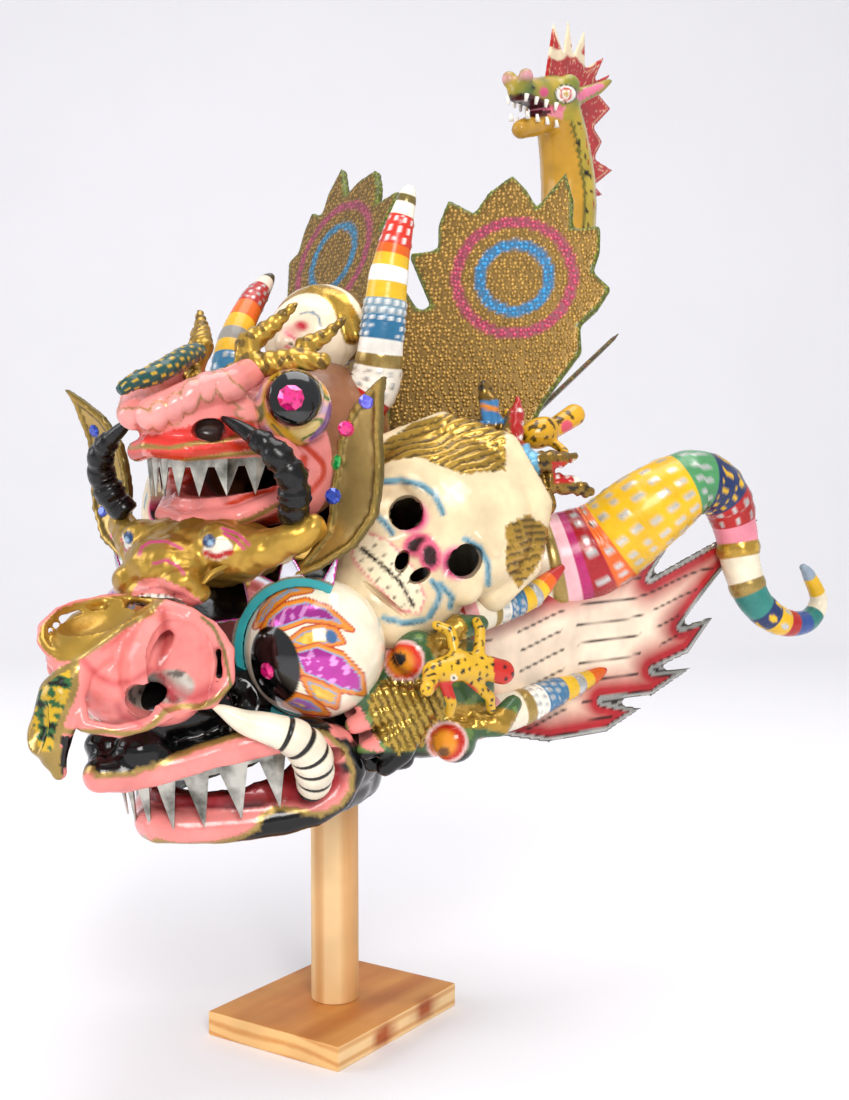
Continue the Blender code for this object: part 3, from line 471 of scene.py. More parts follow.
def brush_painted(name, grain=0.35, coat=0.18):
    """Gloss enamel laid on by brush over plaster, card or tin, with gold paint where the piece is gilded.

    The colours are the piece's own "paint"; brush strokes, dust and small wear vary them. grain is how deep
    the strokes stand and coat how much varnish lies over them.
    """
    material, tree, shader = new_material(name)
    place = node(tree, "ShaderNodeTexCoord").outputs["Object"]
    paint = node(tree, "ShaderNodeAttribute", {"attribute_name": "paint"}).outputs["Color"]
    gilt = node(tree, "ShaderNodeAttribute", {"attribute_name": "gilt"}).outputs["Fac"]
    rough = node(tree, "ShaderNodeAttribute", {"attribute_name": "rough"}).outputs["Fac"]
    strokes = node(
        tree, "ShaderNodeTexNoise", {"Scale": 140.0, "Detail": 5.0, "Roughness": 0.6}, {"Vector": place},
    )
    patches = node(tree, "ShaderNodeTexNoise", {"Scale": 38.0, "Detail": 3.0}, {"Vector": place})
    shade = node(
        tree,
        "ShaderNodeMapRange",
        {"From Min": 0.3, "From Max": 0.7, "To Min": 0.78, "To Max": 1.12},
        {"Value": patches.outputs["Fac"]},
    )
    tinted = node(tree, "ShaderNodeHueSaturation", None, {"Value": shade.outputs["Result"], "Color": paint})
    tree.links.new(tinted.outputs["Color"], shader.inputs["Base Color"])
    tree.links.new(gilt, shader.inputs["Metallic"])
    uneven = node(tree, "ShaderNodeMath", {"operation": "MULTIPLY_ADD", 1: 0.22},
                  {0: strokes.outputs["Fac"], 2: rough})
    lowered = node(tree, "ShaderNodeMath", {"operation": "SUBTRACT", 1: 0.09}, {0: uneven.outputs["Value"]})
    tree.links.new(lowered.outputs["Value"], shader.inputs["Roughness"])
    shader.inputs["Coat Weight"].default_value = coat
    shader.inputs["Coat Roughness"].default_value = 0.12
    shader.inputs["Specular IOR Level"].default_value = 0.3
    bump = node(
        tree, "ShaderNodeBump", {"Strength": grain, "Distance": 0.0009}, {"Height": strokes.outputs["Fac"]},
    )
    tree.links.new(bump.outputs["Normal"], shader.inputs["Normal"])
    return material


# A horn's skin starts this far inside its path's radius. A dot stands this high where its wave passes the
# edge value, and a silver or brass one is this metallic.
HORN_INSET = 0.6
DOT_HEIGHT = 0.9
DOT_EDGE = 0.45
DOT_METAL = 0.55


def banded_horn(name, path, bands, sides, steps, gap=7.0):
    """A horn swept along points of x, y, z and radius in millimetres, painted in bands from root to tip.

    Each band is (share of the length, colour, dots or None, swell in millimetres, gilt). gap is how far
    apart the dots stand, in millimetres.
    """
    spine = [Vector(point) for point in smooth_path(path, 12)]
    lengths = [0.0]
    for a, b in zip(spine, spine[1:]):
        lengths.append(lengths[-1] + (b.to_3d() - a.to_3d()).length)
    total = lengths[-1]
    shares = np.array([band[0] for band in bands], float)
    ends = np.cumsum(shares) / shares.sum()
    starts = np.concatenate(([0.0], ends[:-1]))
    bm = bmesh.new()
    rings = []
    marks = []
    side_way = None
    for k in range(steps + 1):
        t = k / steps
        spot = np.interp(t * total, lengths, range(len(spine)))
        low = min(int(spot), len(spine) - 2)
        place = spine[low].lerp(spine[low + 1], spot - low)
        ahead = (spine[low + 1].to_3d() - spine[low].to_3d()).normalized()
        if side_way is None:
            side_way = ahead.orthogonal().normalized()
        side_way = (side_way - ahead * side_way.dot(ahead)).normalized()
        other = ahead.cross(side_way)
        which = min(int(np.searchsorted(ends, t, side="right")), len(bands) - 1)
        within = (t - starts[which]) / max(ends[which] - starts[which], 1e-6)
        swell = bands[which][3] * math.sin(math.pi * min(max(within, 0), 1)) ** 0.5
        radius = max(place[3] - HORN_INSET + swell, 0.3)
        row = []
        for j in range(sides):
            angle = 2 * math.pi * j / sides
            bead = 0.0
            if bands[which][2]:
                along = max(1, round((ends[which] - starts[which]) * total / gap))
                round_it = max(6, round(2 * math.pi * radius / gap))
                phase = (int(within * along) % 2) * math.pi / round_it
                near = math.cos((angle + phase) * round_it) * math.sin(math.pi * ((within * along) % 1.0))
                bead = max(0.0, near - DOT_EDGE) / (1 - DOT_EDGE)
            out = side_way * math.cos(angle) + other * math.sin(angle)
            row.append(bm.verts.new((place.to_3d() + out * (radius + DOT_HEIGHT * bead)) * MM))
            marks.append((which, bead))
        rings.append(row)
    for first, second in zip(rings, rings[1:]):
        for j in range(sides):
            bm.faces.new((first[j], first[(j + 1) % sides], second[(j + 1) % sides], second[j]))
    bm.faces.new(list(reversed(rings[0])))
    bm.faces.new(rings[-1])
    bmesh.ops.recalc_face_normals(bm, faces=bm.faces)
    skin = Skin(from_bmesh(name, bm), "888888")
    marks = np.array(marks)
    for k, (_, colour, dots, _, gilt) in enumerate(bands):
        mine = marks[:, 0] == k
        skin.coat(mine, colour, gilt)
        if dots:
            metal = DOT_METAL if dots in (SILVER, BRASS) else 0.0
            skin.coat(mine * np.clip(marks[:, 1] * 3, 0, 1), dots, metal)
    return skin.finish()


def gem(bm, centre, normal, radius, sides=10):
    """Adds a cut stone: a flat table, a crown of facets and a short girdle sunk in the glue."""
    turn = Vector(normal).to_track_quat("Z", "Y").to_matrix().to_4x4()
    place = Matrix.Translation(Vector(centre) * MM) @ turn
    levels = ((1.0, -0.2), (1.0, 0.08), (0.58, 0.42))
    rings = []
    for reach, height in levels:
        ring = []
        for k in range(sides):
            angle = 2 * math.pi * (k + (0.5 if reach < 1 else 0)) / sides
            spot = Vector((math.cos(angle) * reach, math.sin(angle) * reach, height)) * radius * MM
            ring.append(bm.verts.new(place @ spot))
        rings.append(ring)
    for k in range(sides):
        after = (k + 1) % sides
        bm.faces.new((rings[0][k], rings[0][after], rings[1][after], rings[1][k]))
        bm.faces.new((rings[1][k], rings[1][after], rings[2][k]))
        bm.faces.new((rings[1][after], rings[2][after], rings[2][k]))
    bm.faces.new(list(reversed(rings[0])))
    bm.faces.new(rings[2])


def glass_stone(name):
    """Cut glass over a foil back; each stone's colour is its own paint."""
    material, tree, shader = new_material(name)
    place = node(tree, "ShaderNodeTexCoord").outputs["Object"]
    paint = node(tree, "ShaderNodeAttribute", {"attribute_name": "paint"}).outputs["Color"]
    # Painted glints: Voronoi cells brighten each stone's colour in patches, up to more than twice over, for
    # the foil's sparkle.
    cells = node(tree, "ShaderNodeTexVoronoi", {"Scale": 260.0}, {"Vector": place})
    painted_glints = node(
        tree, "ShaderNodeMapRange", {"To Min": 0.55, "To Max": 2.2}, {"Value": cells.outputs["Distance"]},
    )
    tinted = node(tree, "ShaderNodeHueSaturation", None, {"Value": painted_glints.outputs["Result"], "Color": paint})
    tree.links.new(tinted.outputs["Color"], shader.inputs["Base Color"])
    shader.inputs["Metallic"].default_value = 0.45
    shader.inputs["Roughness"].default_value = 0.08
    shader.inputs["Coat Weight"].default_value = 1.0
    shader.inputs["Coat Roughness"].default_value = 0.03
    return material


def pine_wood(name):
    """Pale pine, sawn and lightly sanded; the grain runs up the pole and along the board."""
    material, tree, shader = new_material(name)
    place = node(tree, "ShaderNodeTexCoord").outputs["Object"]
    grain_along = node(tree, "ShaderNodeAttribute", {"attribute_name": "grain"}).outputs["Vector"]
    rings = node(
        tree,
        "ShaderNodeTexWave",
        {"wave_type": "BANDS", "bands_direction": "X", "Scale": 20.0, "Distortion": 7.0, "Detail": 3.0,
         "Detail Scale": 0.7},
        {"Vector": grain_along},
    )
    fine = node(tree, "ShaderNodeTexNoise", {"Scale": 300.0, "Detail": 4.0}, {"Vector": grain_along})
    stains = node(tree, "ShaderNodeTexNoise", {"Scale": 22.0, "Detail": 2.0}, {"Vector": place})
    tone = node(tree, "ShaderNodeMath", {"operation": "MULTIPLY_ADD", 1: 0.35},
                {0: fine.outputs["Fac"], 2: rings.outputs["Fac"]})
    ramp = node(tree, "ShaderNodeValToRGB", None, {"Fac": tone.outputs["Value"]})
    ramp.color_ramp.elements[0].color = (*linear("d39a5c"), 1)
    ramp.color_ramp.elements[0].position = 0.1
    ramp.color_ramp.elements[1].color = (*linear("ecc791"), 1)
    ramp.color_ramp.elements[1].position = 0.75
    paint = node(tree, "ShaderNodeAttribute", {"attribute_name": "paint"}).outputs["Color"]
    mixed = node(tree, "ShaderNodeMix", {"data_type": "RGBA", "blend_type": "MULTIPLY"})
    mixed.inputs["Factor"].default_value = 1.0
    tree.links.new(ramp.outputs["Color"], mixed.inputs[6])
    tree.links.new(paint, mixed.inputs[7])
    shade = node(
        tree, "ShaderNodeMapRange", {"From Min": 0.3, "From Max": 0.7, "To Min": 0.88, "To Max": 1.08},
        {"Value": stains.outputs["Fac"]},
    )
    tinted = node(
        tree, "ShaderNodeHueSaturation", None,
        {"Value": shade.outputs["Result"], "Color": mixed.outputs[2]},
    )
    tree.links.new(tinted.outputs["Color"], shader.inputs["Base Color"])
    shader.inputs["Roughness"].default_value = 0.6
    bump = node(
        tree, "ShaderNodeBump", {"Strength": 0.25, "Distance": 0.0004}, {"Height": tone.outputs["Value"]},
    )
    tree.links.new(bump.outputs["Normal"], shader.inputs["Normal"])
    return material


def folded_tin(name):
    """Bare tin, scratched and a little tarnished."""
    material, tree, shader = new_material(name)
    place = node(tree, "ShaderNodeTexCoord").outputs["Object"]
    stain = node(tree, "ShaderNodeTexNoise", {"Scale": 60.0, "Detail": 5.0}, {"Vector": place})
    ramp = node(tree, "ShaderNodeValToRGB", None, {"Fac": stain.outputs["Fac"]})
    ramp.color_ramp.elements[0].color = (*linear("5b5a54"), 1)
    ramp.color_ramp.elements[0].position = 0.3
    ramp.color_ramp.elements[1].color = (*linear("c4c2b8"), 1)
    ramp.color_ramp.elements[1].position = 0.62
    tree.links.new(ramp.outputs["Color"], shader.inputs["Base Color"])
    shader.inputs["Metallic"].default_value = 1.0
    rough = node(tree, "ShaderNodeMapRange", {"To Min": 0.22, "To Max": 0.5}, {"Value": stain.outputs["Fac"]})
    tree.links.new(rough.outputs["Result"], shader.inputs["Roughness"])
    scratches = node(tree, "ShaderNodeTexNoise", {"Scale": 420.0, "Detail": 2.0}, {"Vector": place})
    bump = node(
        tree, "ShaderNodeBump", {"Strength": 0.2, "Distance": 0.0003},
        {"Height": scratches.outputs["Fac"]},
    )
    tree.links.new(bump.outputs["Normal"], shader.inputs["Normal"])
    return material


def beaded(name):
    """Tiny metal beads glued close together on card; the paint says where they change colour.

    The real ones are about 2.4 mm across, drawn as 3.4 mm so that they show.
    """
    material, tree, shader = new_material(name)
    place = node(tree, "ShaderNodeTexCoord").outputs["Object"]
    paint = node(tree, "ShaderNodeAttribute", {"attribute_name": "paint"}).outputs["Color"]
    gilt = node(tree, "ShaderNodeAttribute", {"attribute_name": "gilt"}).outputs["Fac"]
    cells = node(tree, "ShaderNodeTexVoronoi", {"Scale": 1 / 0.0034, "Randomness": 0.55}, {"Vector": place})
    height = node(
        tree, "ShaderNodeMapRange", {"From Min": 0.0, "From Max": 0.55, "To Min": 1.0, "To Max": 0.0},
        {"Value": cells.outputs["Distance"]},
    )
    # Painted shade and highlight: each bead's colour is darkest in the gaps between beads and brightest on
    # its top.
    shade = node(
        tree, "ShaderNodeMapRange", {"From Min": 0.0, "From Max": 1.0, "To Min": 0.35, "To Max": 1.25},
        {"Value": height.outputs["Result"]},
    )
    each = node(tree, "ShaderNodeMath", {"operation": "MULTIPLY_ADD", 1: 0.5, 2: 0.75},
                {0: cells.outputs["Color"]})
    both = node(tree, "ShaderNodeMath", {"operation": "MULTIPLY"},
                {0: shade.outputs["Result"], 1: each.outputs["Value"]})
    tinted = node(tree, "ShaderNodeHueSaturation", None, {"Value": both.outputs["Value"], "Color": paint})
    tree.links.new(tinted.outputs["Color"], shader.inputs["Base Color"])
    tree.links.new(gilt, shader.inputs["Metallic"])
    shader.inputs["Roughness"].default_value = 0.34
    bump = node(
        tree, "ShaderNodeBump", {"Strength": 0.9, "Distance": 0.0012},
        {"Height": height.outputs["Result"]},
    )
    tree.links.new(bump.outputs["Normal"], shader.inputs["Normal"])
    return material


PINK = "ea8a84"
DEEP_PINK = "b8434a"
GOLD = "b8913c"
RIM_GOLD = "a58a4c"
OLD_GOLD = "8a6a2c"
CREAM = "ece0c6"
BLACK = "070708"
RED = "b01c18"
DEEP_RED = "7c1512"
ORANGE = "e0641c"
YELLOW = "e6b418"
TEAL = "2f7c74"
BLUE = "2b4a8c"
MAGENTA = "b52468"
SILVER = "c8c8c4"
BRASS = "d8b04a"

enamel = brush_painted("gloss enamel and gold paint over plaster")
glossy = brush_painted("thick gloss enamel on blown glass", grain=0.05, coat=0.9)
tin_paint = brush_painted("enamel on cut tin", grain=0.2, coat=0.3)
foil = brush_painted("silver mirror sheet with painted edges", grain=0.02, coat=0.2)
cut_glass = glass_stone("cut glass on foil")
wood = pine_wood("sanded pine")
tin = folded_tin("bare folded tin")
beads = beaded("gold beads glued on card")

CRANIUM = (0, 30, 1000 * CROWN_HEIGHT - 150)
CRANIUM_RADII = (100, 135, 150)
LIP_LINE = [
    (0, -249, 243), (10, -236, 242), (31, -211, 246), (55, -188, 255), (76, -168, 262), (88, -144, 263),
    (93, -118, 252), (91, -101, 232), (86, -110, 214), (76, -124, 205), (62, -140, 201), (46, -157, 198),
    (29, -174, 197), (12, -190, 198), (0, -196, 198),
]


def head_lumps(bm):
    ball(bm, CRANIUM, CRANIUM_RADII, detail=20)
    ball(bm, (0, -60, 332), (84, 84, 66))
    ball(bm, (0, -136, 279), (56, 102, 32), detail=16)
    ball(bm, (0, -84, 214), (82, 100, 42), detail=16)
    for side in (-1, 1):
        ball(bm, (side * 68, -84, 248), (28, 48, 42))
        ball(bm, (side * 14, -226, 258), (17, 18, 13))
    for lip in both_sides(LIP_LINE):
        chain(bm, lip, 12)


def head_hollows(bm):
    wall = SHELL_WALL / MM
    ball(bm, CRANIUM, [radius - wall for radius in CRANIUM_RADII], detail=20)
    ball(bm, (0, -60, 332), (84 - wall, 84 - wall, 66 - wall))
    ball(bm, (0, -130, 277), (47 - wall, 94 - wall, 32 - wall), detail=16)
    ball(bm, (0, -76, 198), (82 - wall, 98 - wall, 66), detail=16)
    ball(bm, (0, 74, 168), (165, 118, 70), detail=16)
    ball(bm, (0, -172, 236), (170, 66, 17), turn=(13, 0, 0), detail=16)
    for side in (-1, 1):
        recess = [
            (side * 50, -165, 298), (side * 54, -166, 285), (side * 62, -162, 277), (side * 74, -154, 275),
        ]
        chain(bm, recess, [12, 12, 10, 8])


NOSE_RIM = [
    (15, -213, 350), (12, -246, 335), (5, -270, 318), (8, -274, 296), (14, -276, 281), (30, -261, 276),
    (40, -246, 280), (50, -226, 290), (58, -206, 290), (62, -194, 303), (60, -192, 323), (54, -199, 337),
    (44, -212, 348), (30, -219, 352), (15, -213, 350),
]
DISH_RIM = [
    (5, -272, 320), (-6, -277, 321), (-14, -280, 327), (-20, -279, 332), (-26, -272, 340),
    (-31, -255, 348), (-31, -232, 352), (-24, -211, 354), (-6, -204, 354), (15, -208, 352),
    (20, -248, 339), (14, -261, 330), (5, -272, 320),
]


def nose_lumps(bm):
    """Two flared wings, a gilt dish on top that rises to the far side, and a leaf hanging at the tip."""
    ball(bm, (0, -222, 304), (30, 40, 34))
    for side in (-1, 1):
        ball(bm, (side * 30, -218, 311), (32, 38, 38), turn=(0, side * 8, side * 20))
    for rim in both_sides(NOSE_RIM):
        chain(bm, rim, 4.5)
    ball(bm, (-7, -246, 330), (26, 36, 18), turn=(24, 12, 0))
    chain(bm, DISH_RIM, 3.5)
    chain(bm, [(0, -264, 318), (-3, -278, 298), (-5, -287, 272), (0, -284, 251)], [10, 15, 14, 5])


def nose_hollows(bm):
    for side in (-1, 1):
        ball(bm, (side * 60, -230, 318), (27, 27, 36))
        chain(bm, [(side * 28, -218, 341), (side * 34, -227, 325), (side * 38, -237, 307)], 6.5)
        chain(bm, [(side * 46, -264, 297), (side * 30, -240, 293), (side * 14, -196, 298)], 11)
        ball(bm, (side * 27, -279, 302), (13, 18, 15))
    ball(bm, (-7, -243, 352), (24, 33, 19), turn=(24, 12, 0))
    ball(bm, (-3, -311, 286), (11, 21, 28))


def mid_face_lumps(bm):
    ball(bm, (0, -150, 384), (66, 42, 26))
    ball(bm, (0, -182, 376), (34, 30, 22))
    ball(bm, (0, -190, 358), (40, 20, 12))
    for side in (-1, 1):
        ball(bm, (side * 36, -172, 393), (15, 14, 13))
        ball(bm, (side * 22, -196, 366), (16, 14, 12))
        chain(bm, [(side * 50, -160, 382), (side * 76, -148, 393), (side * 90, -140, 401)], [15, 12, 10])


def mid_face_hollows(bm):
    ball(bm, (0, -204, 352), (34, 12, 4))


def tooth_row(path, lengths, gum, lean, spread=0.7):
    """Rails of a strip with one pointed tooth per length, hanging from a path of points.

    gum is the height of the band that the teeth are cut from, lean how far they slope back per unit of
    height, and spread the share of each space that a tooth fills.
    """
    rails = ([], [])
    path = [Vector(point) for point in path]
    for k, length in enumerate(lengths):
        start = path[k]
        end = path[k + 1]
        for share, drop in ((0.0, gum), ((1 - spread) / 2, gum), (0.5, length), ((1 + spread) / 2, gum)):
            spot = start.lerp(end, share)
            rails[0].append(spot)
            rails[1].append(spot - Vector((0, -lean * drop, drop)))
    rails[0].append(path[-1])
    rails[1].append(path[-1] - Vector((0, -lean * gum, gum)))
    return rails


LOWER_TOOTH_PATH = [
    (-8, -214, 240), (8, -212, 240), (26, -205, 242), (45, -192, 246), (64, -174, 253), (80, -154, 259),
]
BIG_EYE = (74, -118, 317)
EYE_LID_NORMAL = (0.28, -0.95, -0.05)
UPPER_EYE = (55, -117, 483)
LID_START = -95
LID_END = -296
LASHES = [(-194, 24), (-233, 29), (-261, 22), (-291, 10)]


def from_hub(turn, reach):
    """The flat point at a turn in degrees and a reach from the hub."""
    return (reach * math.cos(math.radians(turn)), reach * math.sin(math.radians(turn)))


def lid_inner():
    """The lid band's inner radius in millimetres: the bulb's, that far forward, and a little air."""
    return math.sqrt(BIG_EYE_RADIUS**2 - LID_ADVANCE**2) / MM + 0.5


def lid_outline():
    """The lid band hugs the bulb from below round its inner side to the top, with four points on it.

    Each lash is the direction of its point and the width of its root, both in degrees.
    """
    inner = lid_inner()
    outer = inner + LID_WIDTH / MM
    tip = outer + LASH_LENGTH / MM
    marks = [(LID_START, outer)]
    for turn, width in LASHES:
        marks += [(turn + width / 2, outer), (turn, tip), (turn - width / 2, outer)]
    marks.append((LID_END, outer))
    for k in range(15, 0, -1):
        marks.insert(1, (LID_START + (LASHES[0][0] + LASHES[0][1] / 2 - LID_START) * k / 16, outer))
    marks += [(LID_END + (LID_START - LID_END) * k / 20, inner) for k in range(21)]
    return [from_hub(turn, reach) for turn, reach in marks]


EAR_OUTLINE = [
    (60, 372), (78, 379), (93, 400), (95, 428), (102, 460), (116, 480), (132, 492), (149, 502), (143, 488),
    (137, 462), (136, 432), (133, 410), (119, 389), (94, 374), (72, 366),
]


UPPER_LIPS = [
    (0, -200, 456), (22, -190, 453), (40, -164, 455), (56, -132, 457), (61, -108, 440), (52, -124, 420),
    (34, -152, 408), (0, -166, 404),
]


def upper_head_lumps(bm):
    ball(bm, (0, -46, 470), (70, 74, 56), detail=16)
    ball(bm, (0, -138, 474), (40, 68, 24), detail=14)
    ball(bm, (0, -104, 418), (50, 58, 20))
    for side in (-1, 1):
        ball(bm, (side * 46, -94, 444), (24, 34, 38))
        ridge = [(8, -206, 478), (24, -186, 490), (34, -158, 499), (28, -130, 508)]
        chain(bm, [(side * x, y, z) for x, y, z in ridge], 11)
    for lip in both_sides(UPPER_LIPS):
        chain(bm, lip, 7.5)


def upper_head_hollows(bm):
    ball(bm, (0, -60, 462), (58, 64, 42), detail=14)
    ball(bm, (0, -100, 436), (46, 60, 24))
    ball(bm, (0, -150, 433), (88, 58, 11), turn=(10, 0, 0), detail=14)
    ball(bm, (0, -30, 420), (50, 50, 30))
    for side in (-1, 1):
        ball(bm, (side * 38, -178, 467), (20, 13, 8))


THIRD_FACE_HOOD = [(-38, -28, 528), (-22, -28, 562), (2, -26, 574), (26, -28, 566), (44, -30, 540)]


def third_face_lumps(bm):
    ball(bm, (2, -34, 536), (36, 28, 36))
    ball(bm, (2, -18, 548), (44, 26, 34))
    chain(bm, THIRD_FACE_HOOD, [5, 6, 7, 6, 5])
    ball(bm, (2, -60, 534), (8, 8, 9))


NEAR_TEETH = [(-45, 82), (-4, 81), (33, 86), (65, 103), (90, 92), (126, 89), (163, 88)]
NEAR_FOOT = [(-65, -19), (-75, -22), (-88, -1), (-97, -50), (-99, -140), (-66, -196), (-14, -196), (28, -100)]
FAR_TEETH = [(14, 104), (38, 95), (72, 89), (108, 102), (137, 84), (173, 78)]
FAR_FOOT = [(-60, -31), (-66, -100), (-30, -200), (20, -220), (60, -220), (90, -120), (104, -43)]


def sun_outline(teeth, foot):
    """The disc's edge from lower right round the top to the left, then the foot; teeth are (degrees, reach).

    Every tooth points upwards, with its long rounded side below it and its short side above.
    """
    root = SUN_RADIUS / MM
    edge = []
    for k, (angle, reach) in enumerate(teeth):
        edge.append((angle, reach))
        if k + 1 < len(teeth):
            after, next_reach = teeth[k + 1]
            gap = after - angle
            if angle + after < 180:
                edge.append((angle + 0.3 * gap, root))
                edge.append((angle + 0.65 * gap, (root + next_reach) / 2))
            else:
                edge.append((angle + 0.4 * gap, (root + reach) / 2))
                edge.append((after - 0.25 * gap, root))
    return [from_hub(angle, reach) for angle, reach in edge] + foot


DRAGON_NECK = [
    (0, 130, 448, 26), (0, 205, 480, 26), (0, 285, 516, 27), (0, 340, 572, 27), (0, 374, 636, 28),
    (0, 386, 700, 28), (0, 378, 748, 26), (0, 364, 784, 23),
]


def dragon_lumps(bm):
    path = smooth_path(DRAGON_NECK, 2)
    chain(bm, [point[:3] for point in path], [point[3] for point in path])
    ball(bm, (0, 356, 798), (24, 30, 22))
    chain(bm, [(0, 350, 800), (0, 318, 796), (0, 290, 792)], [20, 15, 13])
    chain(bm, [(0, 350, 784), (0, 316, 766), (0, 290, 757)], [16, 11, 9])
    for side in (-1, 1):
        ball(bm, (side * 18, 352, 808), (10, 11, 11))
        ball(bm, (side * 9, 284, 803), (7, 8, 8))
        chain(bm, [(side * 18, 376, 804), (side * 26, 398, 814), (side * 30, 414, 824)], [8, 6, 3])


def dragon_hollows(bm):
    ball(bm, (0, 288, 776), (30, 34, 7), turn=(10, 0, 0))


CREST_TIPS = [(352, 871), (382, 881), (416, 879), (461, 863), (478, 850), (476, 813), (457, 776), (482, 751)]
CREST_ROOTS = [(402, 716), (394, 748), (380, 774), (362, 796), (340, 800)]
SKULL_PLACE = facing((113, -32, 390), (0.60, -0.79, 0.05), (0.52, 0.36, 0.78))


def skull_lumps(bm):
    ball(bm, (0, 0, 22), (64, 44, 58), detail=16)
    ball(bm, (0, -6, -34), (50, 38, 46))
    ball(bm, (0, -14, -62), (40, 28, 24))
    for side in (-1, 1):
        ball(bm, (side * 34, -24, -12), (18, 16, 16))
        ball(bm, (side * 27, -30, 20), (18, 14, 8))
    chain(bm, [(0, -30, 8), (0, -40, -14)], [7, 7])
    chain(
        bm, [(-62, 8, -4), (-66, 6, 30), (-44, 0, 68), (0, -6, 84), (44, 0, 68), (66, 6, 30), (62, 8, -4)],
        12,
    )


def skull_hollows(bm):
    ball(bm, (0, 12, 0), (52, 42, 70), detail=16)
    ball(bm, (0, 60, 0), (90, 44, 110))
    for side in (-1, 1):
        ball(bm, (side * 27, -40, 2), (12, 34, 13))
        ball(bm, (side * 8, -44, -26), (5, 26, 9), turn=(0, side * 20, 0))
    ball(bm, (0, -44, -54), (30, 12, 2.6))


MINI_PLACE = facing((140, 20, 436), (0.66, -0.72, 0.20), (0.42, 0.50, 0.62))


def mini_mask_lumps(bm):
    ball(bm, (0, 6, 0), (32, 24, 34))
    ball(bm, (0, -16, -6), (16, 14, 14))
    for side in (-1, 1):
        chain(bm, [(0, -26, 0), (side * 13, -26, 6), (side * 17, -24, -6), (side * 8, -26, -12)], 5)
        ball(bm, (side * 36, -8, 6), (11, 11, 11))
        chain(bm, [(side * 12, -12, 22), (side * 22, -6, 38), (side * 30, 2, 52)], [9, 7, 3])
        chain(bm, [(side * 30, 4, 24), (side * 44, 6, 36), (side * 56, 8, 42)], [9, 7, 5])
    chain(bm, [(-32, -6, -12), (-22, -16, -27), (0, -20, -33), (22, -16, -27), (32, -6, -12)], 6)


TOAD_PLACE = facing((109, -46, 277), (0.66, -0.74, -0.06), (0.62, 0.50, 0.34))


def toad_lumps(bm):
    ball(bm, (0, 6, 8), (50, 34, 52), detail=14)
    ball(bm, (0, -8, -30), (34, 26, 26))
    for side in (-1, 1):
        ball(bm, (side * 35, -24, 12), (16, 16, 16))
        chain(bm, [(side * 32, -22, 30), (side * 38, -20, 46), (side * 32, -10, 62)], [9, 10, 7])
        chain(bm, [(side * 6, -30, 2), (side * 22, -40, -26), (side * 27, -40, -40)], [6, 9, 7])
        chain(bm, [(side * 3, -32, 2), (side * 9, -42, -28), (side * 10, -42, -48)], [6, 8, 7])
    chain(bm, [(-36, -10, -26), (-26, -20, -46), (0, -24, -58), (26, -20, -46), (36, -10, -26)], 8)


SIDE_HORN = [
    (112, 78, 362, 40), (140, 100, 366, 40), (172, 122, 380, 36), (206, 140, 410, 32), (232, 164, 430, 26),
    (246, 188, 420, 21), (251, 202, 394, 18), (256, 205, 362, 16), (265, 212, 334, 14),
    (277, 238, 316, 12), (288, 270, 314, 10), (293, 284, 330, 8), (290, 268, 352, 6), (288, 258, 360, 3.5),
]
TOP_HORN = [
    (50, -34, 484, 19), (60, -27, 505, 19), (66, -27, 536, 17), (70, -24, 580, 15), (74, -18, 613, 11.5),
    (79, -12, 641, 7), (81, -11, 649, 3),
]
FAR_TOP_HORN = [
    (-50, -52, 486, 16), (-58, -55, 512, 15), (-65, -40, 542, 13), (-71, -16, 569, 11), (-78, 10, 589, 8),
    (-82, 24, 598, 4),
]
TUSK = [
    (84, -136, 222, 10), (92, -142, 234, 13), (97, -152, 250, 14), (95, -165, 263, 13),
    (84, -179, 271, 11), (72, -190, 276, 8.5), (62, -200, 284, 4.5), (58, -205, 287, 2),
]
UPPER_TUSK = [
    (76, -146, 408, 9), (84, -152, 418, 10.5), (88, -160, 436, 10), (80, -168, 452, 9),
    (66, -172, 462, 6.5), (52, -174, 470, 4.5), (42, -176, 475, 2),
]
SNAKE = [
    (-4, -224, 492, 4), (-2, -214, 498, 6), (0, -196, 504, 7.5), (-2, -176, 512, 8), (-8, -156, 519, 8),
    (-14, -138, 524, 7),
]
SMALL_HORNS = {
    "upper_small_horn_left": [
        (112, -22, 328, 15), (132, -2, 335, 15), (146, 22, 341, 13), (156, 40, 346, 10), (162, 58, 358, 6.5),
        (166, 70, 366, 3),
    ],
    "lower_small_horn_left": [
        (116, -14, 250, 14), (138, 14, 257, 15), (152, 34, 262, 14), (163, 62, 270, 11.5),
        (170, 84, 274, 9), (176, 108, 280, 6), (181, 134, 290, 3),
    ],
}
WING_OUTLINE = [
    (0, -50), (-14, -8), (-6, 28), (40, 38), (92, 46), (136, 56), (188, 82), (160, 42), (262, 84),
    (232, 44), (190, 0), (224, 6), (196, -22), (160, -32), (198, -34), (156, -52), (110, -50), (146, -60),
    (112, -74), (60, -76), (20, -66),
]


